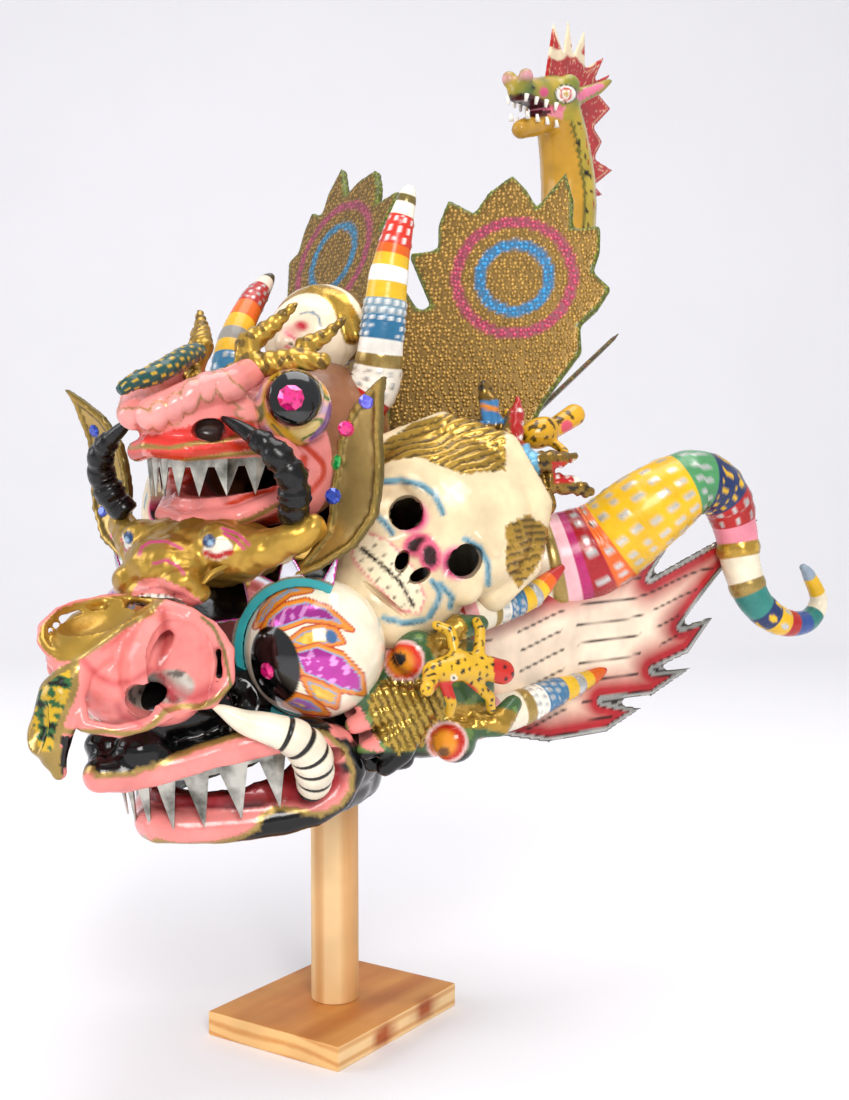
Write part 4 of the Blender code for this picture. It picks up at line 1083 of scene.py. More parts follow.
def make_stand():
    """The board and pole of the CAD with worn edges and a grain."""
    for name, wear in (("stand_board", 1.2), ("stand_pole", 0.6)):
        bm = bmesh.new()
        bm.from_mesh(frame["nodes"][name].data)
        bmesh.ops.remove_doubles(bm, verts=bm.verts, dist=1e-6)
        bmesh.ops.dissolve_limit(bm, angle_limit=0.02, verts=bm.verts, edges=bm.edges)
        sharp = [edge for edge in bm.edges if edge.calc_face_angle(0) > 1.0]
        bmesh.ops.bevel(
            bm, geom=sharp, offset=wear * MM, segments=3, affect="EDGES", profile=0.5, material=-1,
        )
        bmesh.ops.triangulate(bm, faces=bm.faces)
        for _ in range(4 if name == "stand_board" else 0):
            long = [edge for edge in bm.edges if edge.calc_length() > 0.008]
            bmesh.ops.subdivide_edges(bm, edges=long, cuts=1)
            bmesh.ops.triangulate(bm, faces=bm.faces)
        thing = from_bmesh(name + "_pine", bm)
        skin = Skin(thing, "ffffff")
        x, y, z = skin.points.T * MM
        if name == "stand_pole":
            grain = np.column_stack((x * 0.8 + 0.3, y * 0.5, z * 0.03))
        else:
            grain = np.column_stack((z * 1.6 + 0.12 * x, x * 0.6, y * 0.06))
            skin.coat(skin.normals[:, 2] > 0.7, "e8bd86")
            skin.coat(skin.normals[:, 1] < -0.7, "fff0d6")
            for spot in ((63, -22, 9), (63, 35, 12)):
                skin.coat(skin.in_ball(spot, (6, 13, 8), 0.8), "b5672c")
        skin.finish()
        thing.data.set_sharp_from_angle(angle=0.4)
        layer = thing.data.attributes.new("grain", "FLOAT_VECTOR", "POINT")
        layer.data.foreach_set("vector", grain.astype(np.float32).ravel())
        put(thing, wood, "pine", name)


UPPER_LIP_LINE = [(82, 759), (96, 775), (122, 776), (160, 764), (199, 747), (247, 733), (300, 729)]
LIP_RIM = [
    (155, 841), (178, 846), (214, 845), (242, 837), (257, 828), (262, 815), (278, 808), (295, 810),
    (321, 815), (341, 805), (352, 790), (353, 770), (344, 749), (326, 734), (300, 729),
]
LOWER_LIP_TOP = [
    (150, 807), (173, 803), (206, 803), (232, 801), (250, 793), (275, 787), (312, 800), (332, 786),
]


# Painted details: what each is, how it is laid on, its line, outline or middle in the photograph's pixels,
# and the rest of what that way of painting takes. Their order is the order of the coats.
HEAD_DETAILS = [
    ("black above the upper lip", "patch",
     [*UPPER_LIP_LINE, (330, 735), (330, 690), (240, 690), (200, 700), (120, 726), (78, 742)],
     BLACK, 0, 0.1),
    ("black below the lower lip", "patch",
     [*LIP_RIM[:14], (350, 740), (420, 740), (420, 880), (140, 880)],
     BLACK, 0, 0.1),
    ("shade along the lower lip", "stroke", LOWER_LIP_TOP, DEEP_PINK, 2, 18),
    ("shade in the mouth's corner", "stroke",
     [(300, 745), (330, 762), (336, 786), (300, 800)],
     DEEP_PINK, 4, 18),
]


def make_head():
    thing = fine_form("head_shell_painted", head_lumps, head_hollows, voxel=3.0, inner=1.5)
    skin = Skin(thing, BLACK, rough=0.1)
    tube = np.maximum(
        skin.near_line(curve_through(LIP_LINE[:7]), 13.5, 1.5),
        skin.near_line(curve_through(LIP_LINE[7:]), 13.5, 1.5),
    )
    skin.coat(tube, PINK, rough=0.16)
    mouth = skin.near_line([(0, -176, 222), (30, -160, 224), (60, -138, 226), (80, -112, 232)], 17, 6)
    skin.coat(mouth, DEEP_RED, rough=0.2)
    lay_details(skin, HEAD_DETAILS)
    for line in (UPPER_LIP_LINE, LIP_RIM):
        skin.stroke(line, RIM_GOLD, 2.7, 1.5, 0.6, 0.3)
    skin.carve(0.5 * ripple(skin.points, 26, 3))
    skin.finish()
    put(thing, enamel, "black_gloss", "head_shell")


DISH_OUTLINE = [
    (38, 641), (41, 628), (50, 616), (66, 606), (86, 601), (122, 595), (162, 600), (140, 618), (122, 629),
    (104, 642), (84, 655), (72, 661), (58, 660), (44, 651),
]
LEAF_OUTLINE = [
    (78, 660), (58, 668), (33, 686), (25, 703), (24, 724), (28, 749), (34, 772), (45, 786), (60, 784),
    (64, 770), (61, 744), (64, 724), (73, 703), (80, 683),
]
LEAF_INNER = [
    (70, 669), (58, 675), (39, 690), (34, 704), (34, 724), (38, 746), (42, 752), (52, 750), (57, 724),
    (66, 702), (72, 684),
]
NOSE_LOWER_RIM = [
    (62, 731), (82, 732), (104, 731), (122, 734), (140, 733), (155, 723), (165, 711), (183, 706),
    (199, 707), (214, 701), (229, 688),
]
NOSE_CREASE = [(163, 612), (166, 642), (158, 670), (168, 683), (173, 700)]


NOSE_DETAILS = [
    # The creases are painted shade: darker reds along the folds of the nose, up its side, over and under the
    # nostril.
    ("crease up the side", "stroke", NOSE_CREASE, "a01c22", 2.5, 11),
    ("crease over the nostril", "stroke",
     [(81, 658), (98, 676), (114, 684), (132, 681), (150, 670)],
     "b8323a", 1.2, 9),
    ("shade behind the nostril", "stroke", [(172, 690), (192, 699), (212, 690)], "bb2f40", 3, 16),
    ("crease under the nostril", "stroke", [(118, 706), (122, 716), (140, 724)], "c2535a", 2, 8),
    ("gilt lower rim", "stroke", NOSE_LOWER_RIM, RIM_GOLD, 3.0, 1.5, 0.6, 0.3),
    ("olive rear edge", "stroke", [(202, 617), (214, 628), (224, 650), (231, 686)], "6f6a36", 1.8, 1.5),
]
LEAF_BLACK = [(62, 736), (97, 736), (84, 752), (68, 764), (60, 777)]


def make_nose():
    thing = fine_form("nose_painted", nose_lumps, nose_hollows, voxel=1.8)
    skin = Skin(thing, PINK, rough=0.16)
    hole = skin.in_ball((26, -216, 298), (22, 30, 15), 0.1)
    skin.coat(hole, "a9a296", 0.0, 0.4)
    skin.coat(hole * (ripple(skin.points, 14, 12) > 0.3), "5f5b55")
    lay_details(skin, NOSE_DETAILS)
    skin.look(folded=False)
    skin.patch(DISH_OUTLINE, GOLD, 0.7, 0.32)
    bowl = skin.in_ball((0, -240, 355), (29, 36, 21), 0.05)
    skin.coat(bowl * (skin.normals[:, 2] > -0.2), GOLD, 0.7, 0.32)
    skin.stroke(DISH_OUTLINE[6:12], RIM_GOLD, 2.4, 1.5, 0.5, 0.35)
    skin.patch(LEAF_OUTLINE, RIM_GOLD, 0.65, 0.28)
    marble = ripple(skin.points, 8, 5)
    inner = skin.in_pixels(LEAF_INNER)
    skin.coat(inner, "2f5d33", 0.0, 0.2)
    skin.coat(inner * (marble > 0.2), "c9a227")
    skin.coat(inner * (marble < -0.35), "16180f")
    skin.patch(LEAF_BLACK, BLACK)
    skin.carve(0.35 * ripple(skin.points, 15, 21))
    skin.finish()
    put(thing, enamel, "pink_gloss", "nose")


GOLD_FACE_EYE = [
    ("white of the eye", "spot", (218, 549), (15, 11), "f1ead8", 10, 1.5, 0.0, 0.12),
    ("red lower lid", "stroke", [(206, 553), (216, 557), (231, 552)], RED, 3.0, 2.0),
    ("iris", "spot", (209, 541), (6.5, 6.5), "23406e", 0, 1.2, 0.0, 0.06),
    ("light in the iris", "spot", (210, 543), (3, 3), "9fc0de", 0, 1.5, 0.0, 0.05),
]
GOLD_FACE_MOUTH = [
    ("upper lip", "patch",
     [(131, 594), (140, 580), (159, 577), (184, 588), (206, 604), (204, 612), (131, 612)],
     PINK, 0, 0.16),
    ("shade in the lip", "stroke", [(140, 590), (159, 587), (182, 594), (198, 603)], "a8555a", 0.8, 2.5),
    ("row of teeth", "patch",
     [(134, 598), (146, 594), (164, 594), (180, 599), (188, 606), (188, 616), (134, 612)],
     "f3efe6", 0, 0.1),
]


EYE_CORNER_LINES = ([(222, 528), (238, 534), (249, 545)], [(224, 533), (236, 540), (244, 549)])
FAR_EYE_LINES = (
    [(139, 555), (142, 547), (150, 542), (166, 541), (182, 549)],
    [(153, 564), (166, 560), (179, 567), (184, 574)],
)
TOOTH_GAPS = (142, 150, 158, 166, 174)
TOOTH_TOP = 594
TOOTH_FOOT = 606


def make_mid_face():
    """Beaten gold cheeks and brows with red and pink lines."""
    thing = fine_form("mid_face_painted", mid_face_lumps, mid_face_hollows, voxel=1.8)
    skin = Skin(thing, GOLD, 0.75, 0.32)
    skin.carve(0.9 * ripple(skin.points, 17, 2) + 0.3 * ripple(skin.points, 7, 31))
    lay_details(skin, GOLD_FACE_EYE)
    for line in EYE_CORNER_LINES:
        skin.stroke(line, "c33a78", 1.6, 1.5)
    skin.look(folded=False)
    for line in FAR_EYE_LINES:
        skin.stroke(line, "c33a78", 1.5, 1.5)
    lay_details(skin, GOLD_FACE_MOUTH)
    for gap in TOOTH_GAPS:
        skin.stroke([(gap, TOOTH_TOP), (gap, TOOTH_FOOT)], "2b2522", 0.5, 1.0)
    skin.finish()
    put(thing, enamel, "gold_paint", "mid_face")


def make_strip(name, rails, thickness, creased=False):
    """A sheet between two rows of points; a creased one has its points folded along their middles."""
    bm = bmesh.new()
    rows = []
    for k, (a, b) in enumerate(zip(*rails)):
        top = Vector(a)
        foot = Vector(b)
        fold = Vector((0, 0, 0))
        if creased and k % 4 == 2:
            along = (Vector(rails[0][k + 1]) - Vector(rails[0][k - 1])).normalized()
            fold = along.cross(Vector((0, 0, 1)))
            fold *= 3.0 if fold.y < 0 else -3.0
        row = []
        for step in range(7):
            share = step / 6
            row.append(bm.verts.new((top.lerp(foot, share) + fold * (1 - share)) * MM))
        rows.append(row)
    for first, second in zip(rows, rows[1:]):
        for k in range(6):
            bm.faces.new((first[k], second[k], second[k + 1], first[k + 1]))
    bmesh.ops.recalc_face_normals(bm, faces=bm.faces)
    thing = from_bmesh(name, bm)
    modifier = thing.modifiers.new("Thickness", "SOLIDIFY")
    modifier.thickness = thickness
    modifier.offset = 0.0
    modifier = thing.modifiers.new("Worn edges", "BEVEL")
    modifier.width = thickness * 0.3
    modifier.segments = 2
    modifier.limit_method = "ANGLE"
    modifier.angle_limit = math.radians(50)
    return bake(thing)


def make_teeth():
    gum = LOWER_GUM / MM
    left = tooth_row(LOWER_TOOTH_PATH, [LOWER_TOOTH_LENGTH / MM + gum] * 5, gum, 0.22)
    far = [(-x - 1, y, z) for x, y, z in LOWER_TOOTH_PATH[1:]]
    right = tooth_row(far, [LOWER_TOOTH_LENGTH / MM + gum] * 4, gum, 0.22)
    half = [(48, -136, 455), (40, -154, 454), (28, -172, 453), (16, -182, 453), (5, -187, 453)]
    path = half + [(-x, y, z) for x, y, z in reversed(half)]
    gum = UPPER_GUM / MM
    upper = tooth_row(path, [UPPER_TOOTH_LENGTH / MM + gum] * (len(path) - 1), gum, 0.0, 0.76)
    for name, rails in (("lower_teeth_left", left), ("lower_teeth_right", right), ("upper_teeth", upper)):
        put(make_strip(name + "_tin", rails, TIN_THICKNESS * 0.8, creased=True), tin, "bare_tin", name)


# The petals round the iris: an outline in the photograph's pixels, a colour and whether it is foil.
PETALS = [
    ([(255, 627), (262, 610), (271, 599), (290, 586), (311, 590), (290, 594), (276, 604), (264, 622)],
     "e09a2a", False),
    ([(262, 632), (268, 618), (284, 605), (306, 600), (328, 608), (352, 630), (330, 622), (306, 620),
      (284, 628)], "b52a9a", True),
    ([(288, 642), (304, 630), (322, 626), (336, 630), (343, 642), (326, 645), (306, 648)], "e6a92c", False),
    ([(293, 652), (318, 645), (342, 654), (362, 675), (364, 694), (340, 690), (318, 680), (303, 674)],
     "b52a9a", True),
    ([(303, 678), (322, 684), (339, 693), (336, 707), (314, 700)], "e6a92c", False),
    ([(284, 704), (296, 695), (312, 700), (328, 714), (304, 712)], "a565b8", False),
]


BIG_EYE_DETAILS = [
    ("blue drop", "spot", (331, 637), (6, 7), "3f6694", 30),
    ("iris", "spot", (275.6, 664), (24, 38.5), BLACK, 12, 1.0, 0.0, 0.05),
    ("brown line round the iris", "stroke",
     [(246, 606), (238, 626), (236, 650), (240, 672), (252, 692), (272, 706), (300, 716)],
     "6b4a22", 1.2),
]


def make_big_eyes():
    """Blown glass bulbs, cream, with a painted lid, petals of foil and enamel and a black iris."""
    bm = bmesh.new()
    radius = BIG_EYE_RADIUS / MM
    ball(bm, BIG_EYE, (radius, radius, radius), turn=(70, 0, 0), detail=106)
    thing = from_bmesh("big_eye_left_painted", bm)
    skin = Skin(thing, "f3ead2", rough=0.08)
    for outline, colour, is_foil in PETALS:
        edge = distance_to_line(skin.pixels, [*outline, outline[0]])
        inside = skin.in_pixels(outline)
        skin.coat(np.maximum(inside, fall(edge, 3.4, 0.8) * skin.facing), "b3331c")
        skin.coat(np.maximum(inside, fall(edge, 1.9, 0.8) * skin.facing), "e58a2e")
        skin.coat(inside * (edge > 1.6), "8aa0bd")
        middle = inside * (edge > 3.2)
        if is_foil:
            skin.coat(middle, colour, 0.6, 0.12)
            skin.coat(middle * (ripple(skin.points, 6, 14) > 0.45), "f09ae0", 0.6, 0.1)
        else:
            skin.coat(middle, colour, 0.0, 0.1)
            skin.coat(inside * (edge > 4.5) * np.clip(ripple(skin.points, 9, 15), 0, 1), "f5cf5a")
    lay_details(skin, BIG_EYE_DETAILS)
    skin.finish()
    put_pair(thing, glossy, "eye_glass", "big_eye")


# The upper eyes' marbling: where each colour lies on the swirl, half its width there, and the colour.
UPPER_EYE_SWIRLS = (
    (0.5, 0.22, "4f6f3a"), (0.0, 0.16, "e8b0b4"), (-0.5, 0.25, "c9a6c4"), (-0.9, 0.2, "f1ead8"),
)
UPPER_IRIS = (294, 399)
UPPER_IRIS_SIZE = (25.5, 26)
UPPER_IRIS_RISE = 5.5
UPPER_EYE_DETAILS = [
    ("yellow swirl", "stroke",
     [(276, 376), (268, 396), (272, 422), (290, 440), (300, 448)],
     "c9a227", 6, 4),
    ("green line", "stroke", [(272, 424), (286, 440), (300, 449)], "3d5a34", 1.0, 1.5),
    ("pink swirl", "stroke", [(284, 366), (306, 362), (330, 372)], "d4a3c0", 4, 4),
    ("orange drop", "spot", (331, 386), (9, 11), "e39a2c", 20, 2),
    ("middle of the drop", "spot", (331, 386), (5, 7), "b9531e", 20, 2),
    ("violet line", "stroke", [(312, 440), (326, 424), (332, 404)], "7a4f9c", 3, 2),
    ("yellow line", "stroke", [(318, 446), (334, 428), (340, 408)], "d2b23a", 1.5, 2),
    ("iris", "spot", UPPER_IRIS, UPPER_IRIS_SIZE, BLACK, 0, 1.2, 0.0, 0.05),
]


def make_upper_eyes():
    bm = bmesh.new()
    radius = UPPER_EYE_RADIUS / MM
    ball(bm, UPPER_EYE, (radius, radius, radius), turn=(70, 0, 0), detail=62)
    thing = from_bmesh("upper_eye_left_painted", bm)
    skin = Skin(thing, "d9c07a", rough=0.1)
    swirl = ripple(skin.points, 24, 8) + (skin.pixels[:, 1] - 400) / 60
    for level, half_width, colour in UPPER_EYE_SWIRLS:
        skin.coat(fall(np.abs(swirl - level), half_width, 0.1), colour)
    lay_details(skin, UPPER_EYE_DETAILS)
    skin.carve(UPPER_IRIS_RISE * skin.in_disc(UPPER_IRIS, *UPPER_IRIS_SIZE, 0, 9.0))
    skin.finish()
    put_pair(thing, glossy, "eye_glass", "upper_eye")


# Each petal over the upper nose is its middle and half sizes in pixels and its turn in degrees.
NOSE_PETALS = [
    ((140, 421), (13, 12), 0), ((159, 416), (9, 14), 0), ((175, 409), (9, 15), -6),
    ((190, 397), (9, 16), -10), ((206, 384), (9, 17), 8), ((224, 386), (8, 17), 25),
    ((237, 394), (7, 16), 45), ((245, 404), (6, 14), 62), ((248, 415), (5, 13), 80),
]


UPPER_MOUTH_REDS = [
    ("red above the mouth", "patch",
     [(130, 430), (150, 436), (182, 428), (212, 418), (250, 418), (262, 440), (250, 446), (155, 455),
      (140, 447)],
     "d8403a", 0, 0.16),
    ("dark red above the mouth", "patch",
     [(150, 452), (186, 452), (222, 445), (258, 438), (260, 448), (222, 455), (160, 465)],
     "b8301a", 0, 0.2),
    # Painted shade: black at the front of the lip, where it lies in shadow.
    ("black at the front", "patch", [(128, 428), (138, 433), (142, 450), (132, 440)], BLACK, 0, 0.1),
]
UPPER_NOSTRIL = (211, 430)
UPPER_HEAD_LINES = [
    # The nostril is painted shade: a dark spot over a shallow dent stands for the hole.
    ("nostril", "spot", UPPER_NOSTRIL, (16, 10.5), "3a2a26", 0, 1.5),
    ("gilt line over the lip", "stroke",
     [(144, 446), (170, 448), (195, 443), (226, 440), (246, 434)],
     RIM_GOLD, 2.2, 1.3, 0.6, 0.3),
    ("gilt line under the lip", "stroke",
     [(146, 465), (182, 462), (226, 455), (262, 452)],
     RIM_GOLD, 2.2, 1.3, 0.6, 0.3),
    ("gilt line under the lower lip", "stroke",
     [(179, 528), (215, 526), (249, 520), (284, 502)],
     RIM_GOLD, 2.2, 1.3, 0.6, 0.3),
    ("red line round the jaw", "stroke",
     [(215, 536), (250, 530), (285, 514), (300, 490), (304, 458)],
     "c23a1e", 4, 3),
]


def make_upper_head():
    """Swollen pink nose petals with gold lines, two gilt-edged lips and a red slit between them."""
    thing = fine_form("upper_head_painted", upper_head_lumps, upper_head_hollows, voxel=2.0, inner=1.5)
    skin = Skin(thing, PINK, rough=0.16)
    inside = skin.in_ball((0, -60, 455), (64, 74, 50), 0.05)
    skin.coat(inside * (skin.points[:, 1] > -150), "7d6a62", 0, 0.4)
    skin.coat(skin.points[:, 1] > -92, "8c5a3c", 0, 0.3)
    skin.coat(skin.near_line(UPPER_LIPS[3:7], 13.0, 2.0), "c23a1e", 0, 0.18)
    skin.coat(skin.near_line(UPPER_LIPS, 9.0, 1.2), PINK, 0, 0.16)
    lay_details(skin, UPPER_MOUTH_REDS)
    grow = np.zeros(skin.count)
    for centre, size, turn in NOSE_PETALS:
        grow = np.maximum(grow, skin.in_disc(centre, *size, turn, 7.0))
        skin.coat(skin.in_disc(centre, size[0] + 1.5, size[1] + 1.5, turn, 1.2), RIM_GOLD, 0.6, 0.3)
    for centre, size, turn in NOSE_PETALS:
        skin.spot(centre, size, "ee9a94", turn, 1.5, 0.0, 0.14)
    lay_details(skin, UPPER_HEAD_LINES)
    skin.carve(1.8 * grow - 3.5 * skin.in_disc(UPPER_NOSTRIL, 15, 9.5, 0, 6.0))
    skin.finish()
    put(thing, enamel, "pink_gloss", "upper_head")


THIRD_FACE_DETAILS = [
    ("red dot", "spot", (301, 326), (7, 5), "c22c3c", 0, 4),
    ("blush", "spot", (290, 332), (8, 6), "e9a79c", 0, 8),
    ("blue line", "stroke", [(312, 311), (319, 317), (321, 327)], "5d7c92", 1.0, 1.6),
    ("upper blue line", "stroke", [(300, 314), (308, 312), (314, 314)], "5d7c92", 0.8, 1.8),
    ("lower blue line", "stroke", [(303, 337), (310, 338), (315, 345)], "5d7c92", 0.9, 1.8),
    ("lips", "stroke", [(286, 333), (296, 340), (306, 350), (300, 354), (286, 346)], "d9707a", 1.6, 2),
    ("line between the lips", "stroke", [(286, 342), (292, 344), (296, 348)], "2b2018", 0.9, 1.0),
]


def make_third_face():
    """A small smiling face in a gilt hood behind the leaves."""
    thing = fine_form("third_face_painted", third_face_lumps, None, voxel=2.0)
    skin = Skin(thing, "efdcbf", rough=0.16)
    skin.look(folded=False)
    skin.coat(fall(distance_to_line(skin.points, THIRD_FACE_HOOD), 9, 1), GOLD, 0.75, 0.25)
    skin.coat(skin.points[:, 1] > -20, "8f6a2c", 0.6, 0.3)
    lay_details(skin, THIRD_FACE_DETAILS)
    skin.finish()
    put(thing, enamel, "cream_gloss", "third_face")


def make_brow_leaves():
    """Gilt leaves over the upper eyes, each with a row of beads up its middle."""

    def leaf_lumps(bm):
        chain(bm, [(14, -142, 504), (30, -130, 512), (52, -112, 516), (66, -98, 516)], [7, 9, 9, 6])
        chain(bm, [(26, -132, 512), (22, -126, 528), (34, -112, 542), (45, -102, 556)], [9, 9, 6, 2.5])
        chain(bm, [(52, -108, 514), (52, -100, 526), (62, -88, 535), (71, -80, 546)], [8, 8, 5, 2.5])
        for rib in (
            [(26, -141, 510), (22, -135, 528), (33, -118, 542)],
            [(53, -117, 514), (53, -108, 526), (62, -93, 535)],
        ):
            for place in smooth_path([(*point, 1) for point in rib], 5):
                ball(bm, tuple(place[:3]), (1.6, 1.6, 1.6), detail=6)

    thing = fine_form("brow_leaf_left_painted", leaf_lumps, None, voxel=1.4, smoothing=1)
    skin = Skin(thing, GOLD, 0.75, 0.32)
    skin.carve(0.5 * np.sin(skin.points[:, 0] * 0.9 + skin.points[:, 2] * 0.5))
    skin.coat(ripple(skin.points, 12, 40) < -0.5, "6b5220", 0.5, 0.4)
    skin.finish()
    put_pair(thing, enamel, "gold_paint", "brow_leaf")


HAIR_TOP = [(368, 474), (376, 448), (414, 422), (452, 412), (505, 412), (505, 470), (463, 474), (445, 468),
            (420, 457), (392, 460)]
HAIR_LOCK = [(506, 526), (529, 514), (553, 533), (536, 568), (519, 588), (506, 570)]
SKULL_BITE = [(352, 543), (360, 536), (368, 534), (389, 543), (402, 555), (412, 569), (424, 597), (419, 612),
              (401, 610), (376, 584), (355, 561), (352, 543)]
# The skull's holes in pixels: each eye's middle and radius, and each nostril's middle, half sizes and turn.
SKULL_EYES = (((412, 517), 10.7), ((457, 563), 10.5))
SKULL_NOSTRILS = (((418, 545), (11, 7), 15), ((430, 556), (7, 11), 10))
SKULL_TEETH_LINE = [(361, 548), (381, 564), (399, 581), (414, 606)]
SKULL_FIRST_TOOTH = (368, 553)
SKULL_TOOTH_STEP = (8.5, 9.0)
SKULL_BROWS = (
    [(378, 482), (401, 480), (422, 485), (435, 495), (443, 513)],
    [(465, 539), (480, 548), (488, 564), (488, 584)],
    [(363, 514), (376, 515), (385, 523), (392, 533)],
    [(432, 581), (440, 592), (437, 604), (429, 617)],
    [(440, 584), (452, 597), (450, 607)],
    [(384, 618), (404, 623), (424, 620)],
)


def make_skulls():
    """A cream skull with pink-rimmed holes, blue-grey brows, drawn teeth and gilt hair."""
    thing = fine_form("skull_left_painted", skull_lumps, skull_hollows, voxel=2.4, place=SKULL_PLACE)
    skin = Skin(thing, "e6d0a8", rough=0.2)
    strands = np.sin((skin.pixels[:, 0] * 0.35 + skin.pixels[:, 1]) * 0.8 + 2 * ripple(skin.points, 30, 11))
    hair = np.maximum(skin.in_pixels(HAIR_TOP), skin.in_pixels(HAIR_LOCK))
    hair = np.maximum(hair, (1 - skin.facing) * (skin.points[:, 2] > 380))
    skin.coat(hair, GOLD, 0.7, 0.28)
    skin.coat(hair * (strands < -0.6), "5f4a1e", 0.4, 0.4)
    skin.carve(0.9 * hair * strands)
    for centre, size in SKULL_EYES:
        skin.spot(centre, (17, 17), "e88ba0", 0, 5)
        skin.spot(centre, (13.5, 13.5), "c9386a", 0, 2.5)
        skin.spot(centre, (size, size), "2a1414", 0, 1.5, 0, 0.5)
    for centre, size, turn in SKULL_NOSTRILS:
        skin.spot(centre, (size[0] + 5, size[1] + 5), "e0607f", turn, 3)
        skin.spot(centre, size, "30171a", turn, 1.5, 0, 0.5)
    skin.stroke(SKULL_BITE, "e58f92", 2.2, 3)
    skin.patch(SKULL_BITE, "f3e4c2")
    skin.stroke(SKULL_TEETH_LINE, "2a2018", 1.8, 1.2)
    for k in range(6):
        x = SKULL_FIRST_TOOTH[0] + SKULL_TOOTH_STEP[0] * k
        y = SKULL_FIRST_TOOTH[1] + SKULL_TOOTH_STEP[1] * k
        skin.stroke([(x + 6, y - 6), (x + 9, y - 9)], "3a2e22", 0.9, 1.2)
        skin.stroke([(x - 5, y + 7), (x - 8, y + 9)], "3a2e22", 0.9, 1.2)
    for line in SKULL_BROWS:
        skin.stroke(line, "6f9fb0", 3.2, 2.6)
        skin.stroke([(x + 1, y + 2) for x, y in line], "35586a", 0.6, 1.4)
    skin.finish()
    put_pair(thing, enamel, "cream_gloss", "skull")


MINI_MOUTH = [(456, 478), (464, 500), (480, 517), (509, 524)]
MINI_FACE_DETAILS = [
    ("pink nose line", "stroke", [(498, 470), (503, 482), (509, 470)], "d6567c", 1.6, 1.2),
    ("red round the first eye", "spot", (471, 447), (14, 14), "8c1d1a", 0, 1.5, 0, 0.1),
    ("red round the second eye", "spot", (531, 510), (15, 15), "8c1d1a", 0, 1.5, 0, 0.1),
    ("pale blue brow", "patch",
     [(510, 446), (526, 440), (538, 452), (540, 484), (522, 490), (508, 478)], "6fb4d8", 0, 0.15),
    ("first red horn", "patch", [(508, 396), (526, 396), (530, 442), (512, 448)], RED, 0, 0.15),
    ("second red horn", "patch", [(552, 462), (572, 460), (574, 482), (554, 484)], RED, 0, 0.15),
]
MINI_DOTS = ((520, 410), (524, 424), (521, 437), (561, 468), (567, 476), (558, 477))
MINI_SIDE_DETAILS = [
    ("cream tip", "patch", [(572, 460), (590, 456), (590, 480), (574, 482)], "efe6d2", 0, 0.15),
    ("blue piece", "patch", [(480, 400), (504, 400), (504, 423), (482, 423)], "3f7fb4", 0, 0.15),
    ("orange ring", "stroke", [(482, 406), (500, 410)], "e38b2c", 2.5, 1.2),
]


def make_mini_masks():
    """A small devil's head on the skull's brow."""
    thing = fine_form("mini_mask_left_painted", mini_mask_lumps, None, voxel=2.0, place=MINI_PLACE)
    skin = Skin(thing, OLD_GOLD, 0.7, 0.25)
    skin.carve(0.8 * np.sin(skin.pixels[:, 0] * 0.55 + 2.0 * ripple(skin.points, 16, 17)))
    skin.coat(ripple(skin.points, 9, 18) < -0.55, "2f2412", 0.2, 0.3)
    skin.stroke(MINI_MOUTH, "de7d6c", 7, 2)
    skin.stroke([(x + 7, y - 5) for x, y in MINI_MOUTH], "f4efe4", 3.4, 1.2)
    lay_details(skin, MINI_FACE_DETAILS)
    for centre in MINI_DOTS:
        skin.spot(centre, (2, 2), "f3f0e8")
    lay_details(skin, MINI_SIDE_DETAILS)
    skin.finish()
    put_pair(thing, enamel, "gold_paint", "mini_mask")


TOAD_FRONT_BROW = [(434, 617), (452, 607), (467, 625), (467, 648), (452, 668), (437, 663), (427, 643)]
TOAD_BACK_BROW = [(456, 716), (482, 716), (508, 722)]
TOAD_HAND = [(368, 700), (382, 680), (408, 674), (440, 686), (446, 712), (432, 744), (398, 754), (374, 736)]
TOAD_BLACK_TOP = 752
TOAD_LIP = [(344, 712), (360, 706), (374, 734), (384, 752), (366, 750), (350, 736)]
TOAD_EYES = (((404, 661), "d8361c"), ((447, 742), "c42a1c"))
TOAD_PUPILS = [
    ("front pupil", "spot", (399, 659), (7, 7), "20242c", 0, 1.2, 0, 0.05),
    ("back pupil", "spot", (444, 752), (6, 4.5), "7a4a1c", 0, 1.5, 0, 0.05),
]


def make_toads():
    """A toad on each cheek: green skin, gilt brows and hand, round red and orange eyes."""
    thing = fine_form("toad_left_painted", toad_lumps, None, voxel=2.3, place=TOAD_PLACE)
    skin = Skin(thing, "40603a", rough=0.18)
    skin.coat(ripple(skin.points, 18, 25) > 0.4, "6d8a4a")
    bumps = ripple(skin.points, 4.5, 26)
    brows = np.maximum(skin.in_pixels(TOAD_FRONT_BROW), skin.near_pixels(TOAD_BACK_BROW, 12, 2))
    hand = skin.in_pixels(TOAD_HAND)
    skin.coat(fall(TOAD_BLACK_TOP - skin.pixels[:, 1], 0, 4), BLACK)
    skin.coat(brows, GOLD, 0.7, 0.28)
    skin.coat(hand, "b0913f", 0.8, 0.22)
    grooves = np.sin((skin.pixels[:, 0] - 0.45 * skin.pixels[:, 1]) * 0.75)
    skin.carve(brows * 0.9 * bumps + hand * 1.3 * grooves)
    skin.coat(hand * (grooves < -0.75), "5f4a1e", 0.5, 0.4)
    skin.patch(TOAD_LIP, PINK, 0, 0.16)
    for centre, top in TOAD_EYES:
        skin.spot(centre, (21, 21), "ecc3bd", 0, 1.5, 0, 0.08)
        skin.spot(centre, (18, 18), top, 0, 2, 0, 0.06)
        skin.spot((centre[0] - 3, centre[1] + 1), (13, 13), "e8932a", 0, 6, 0, 0.06)
    lay_details(skin, TOAD_PUPILS)
    skin.finish()
    put_pair(thing, enamel, "olive_paint", "toad")


LIZARD_HEAD_DETAILS = [
    ("red back of the head", "spot", (456, 690), (22, 9), "c2302a", -6, 1.5, 0, 0.14),
    ("white of the eye", "spot", (454, 678), (3.5, 3), "f2ecd8"),
    ("pupil", "spot", (454, 678), (1.5, 1.5), "20180e"),
]


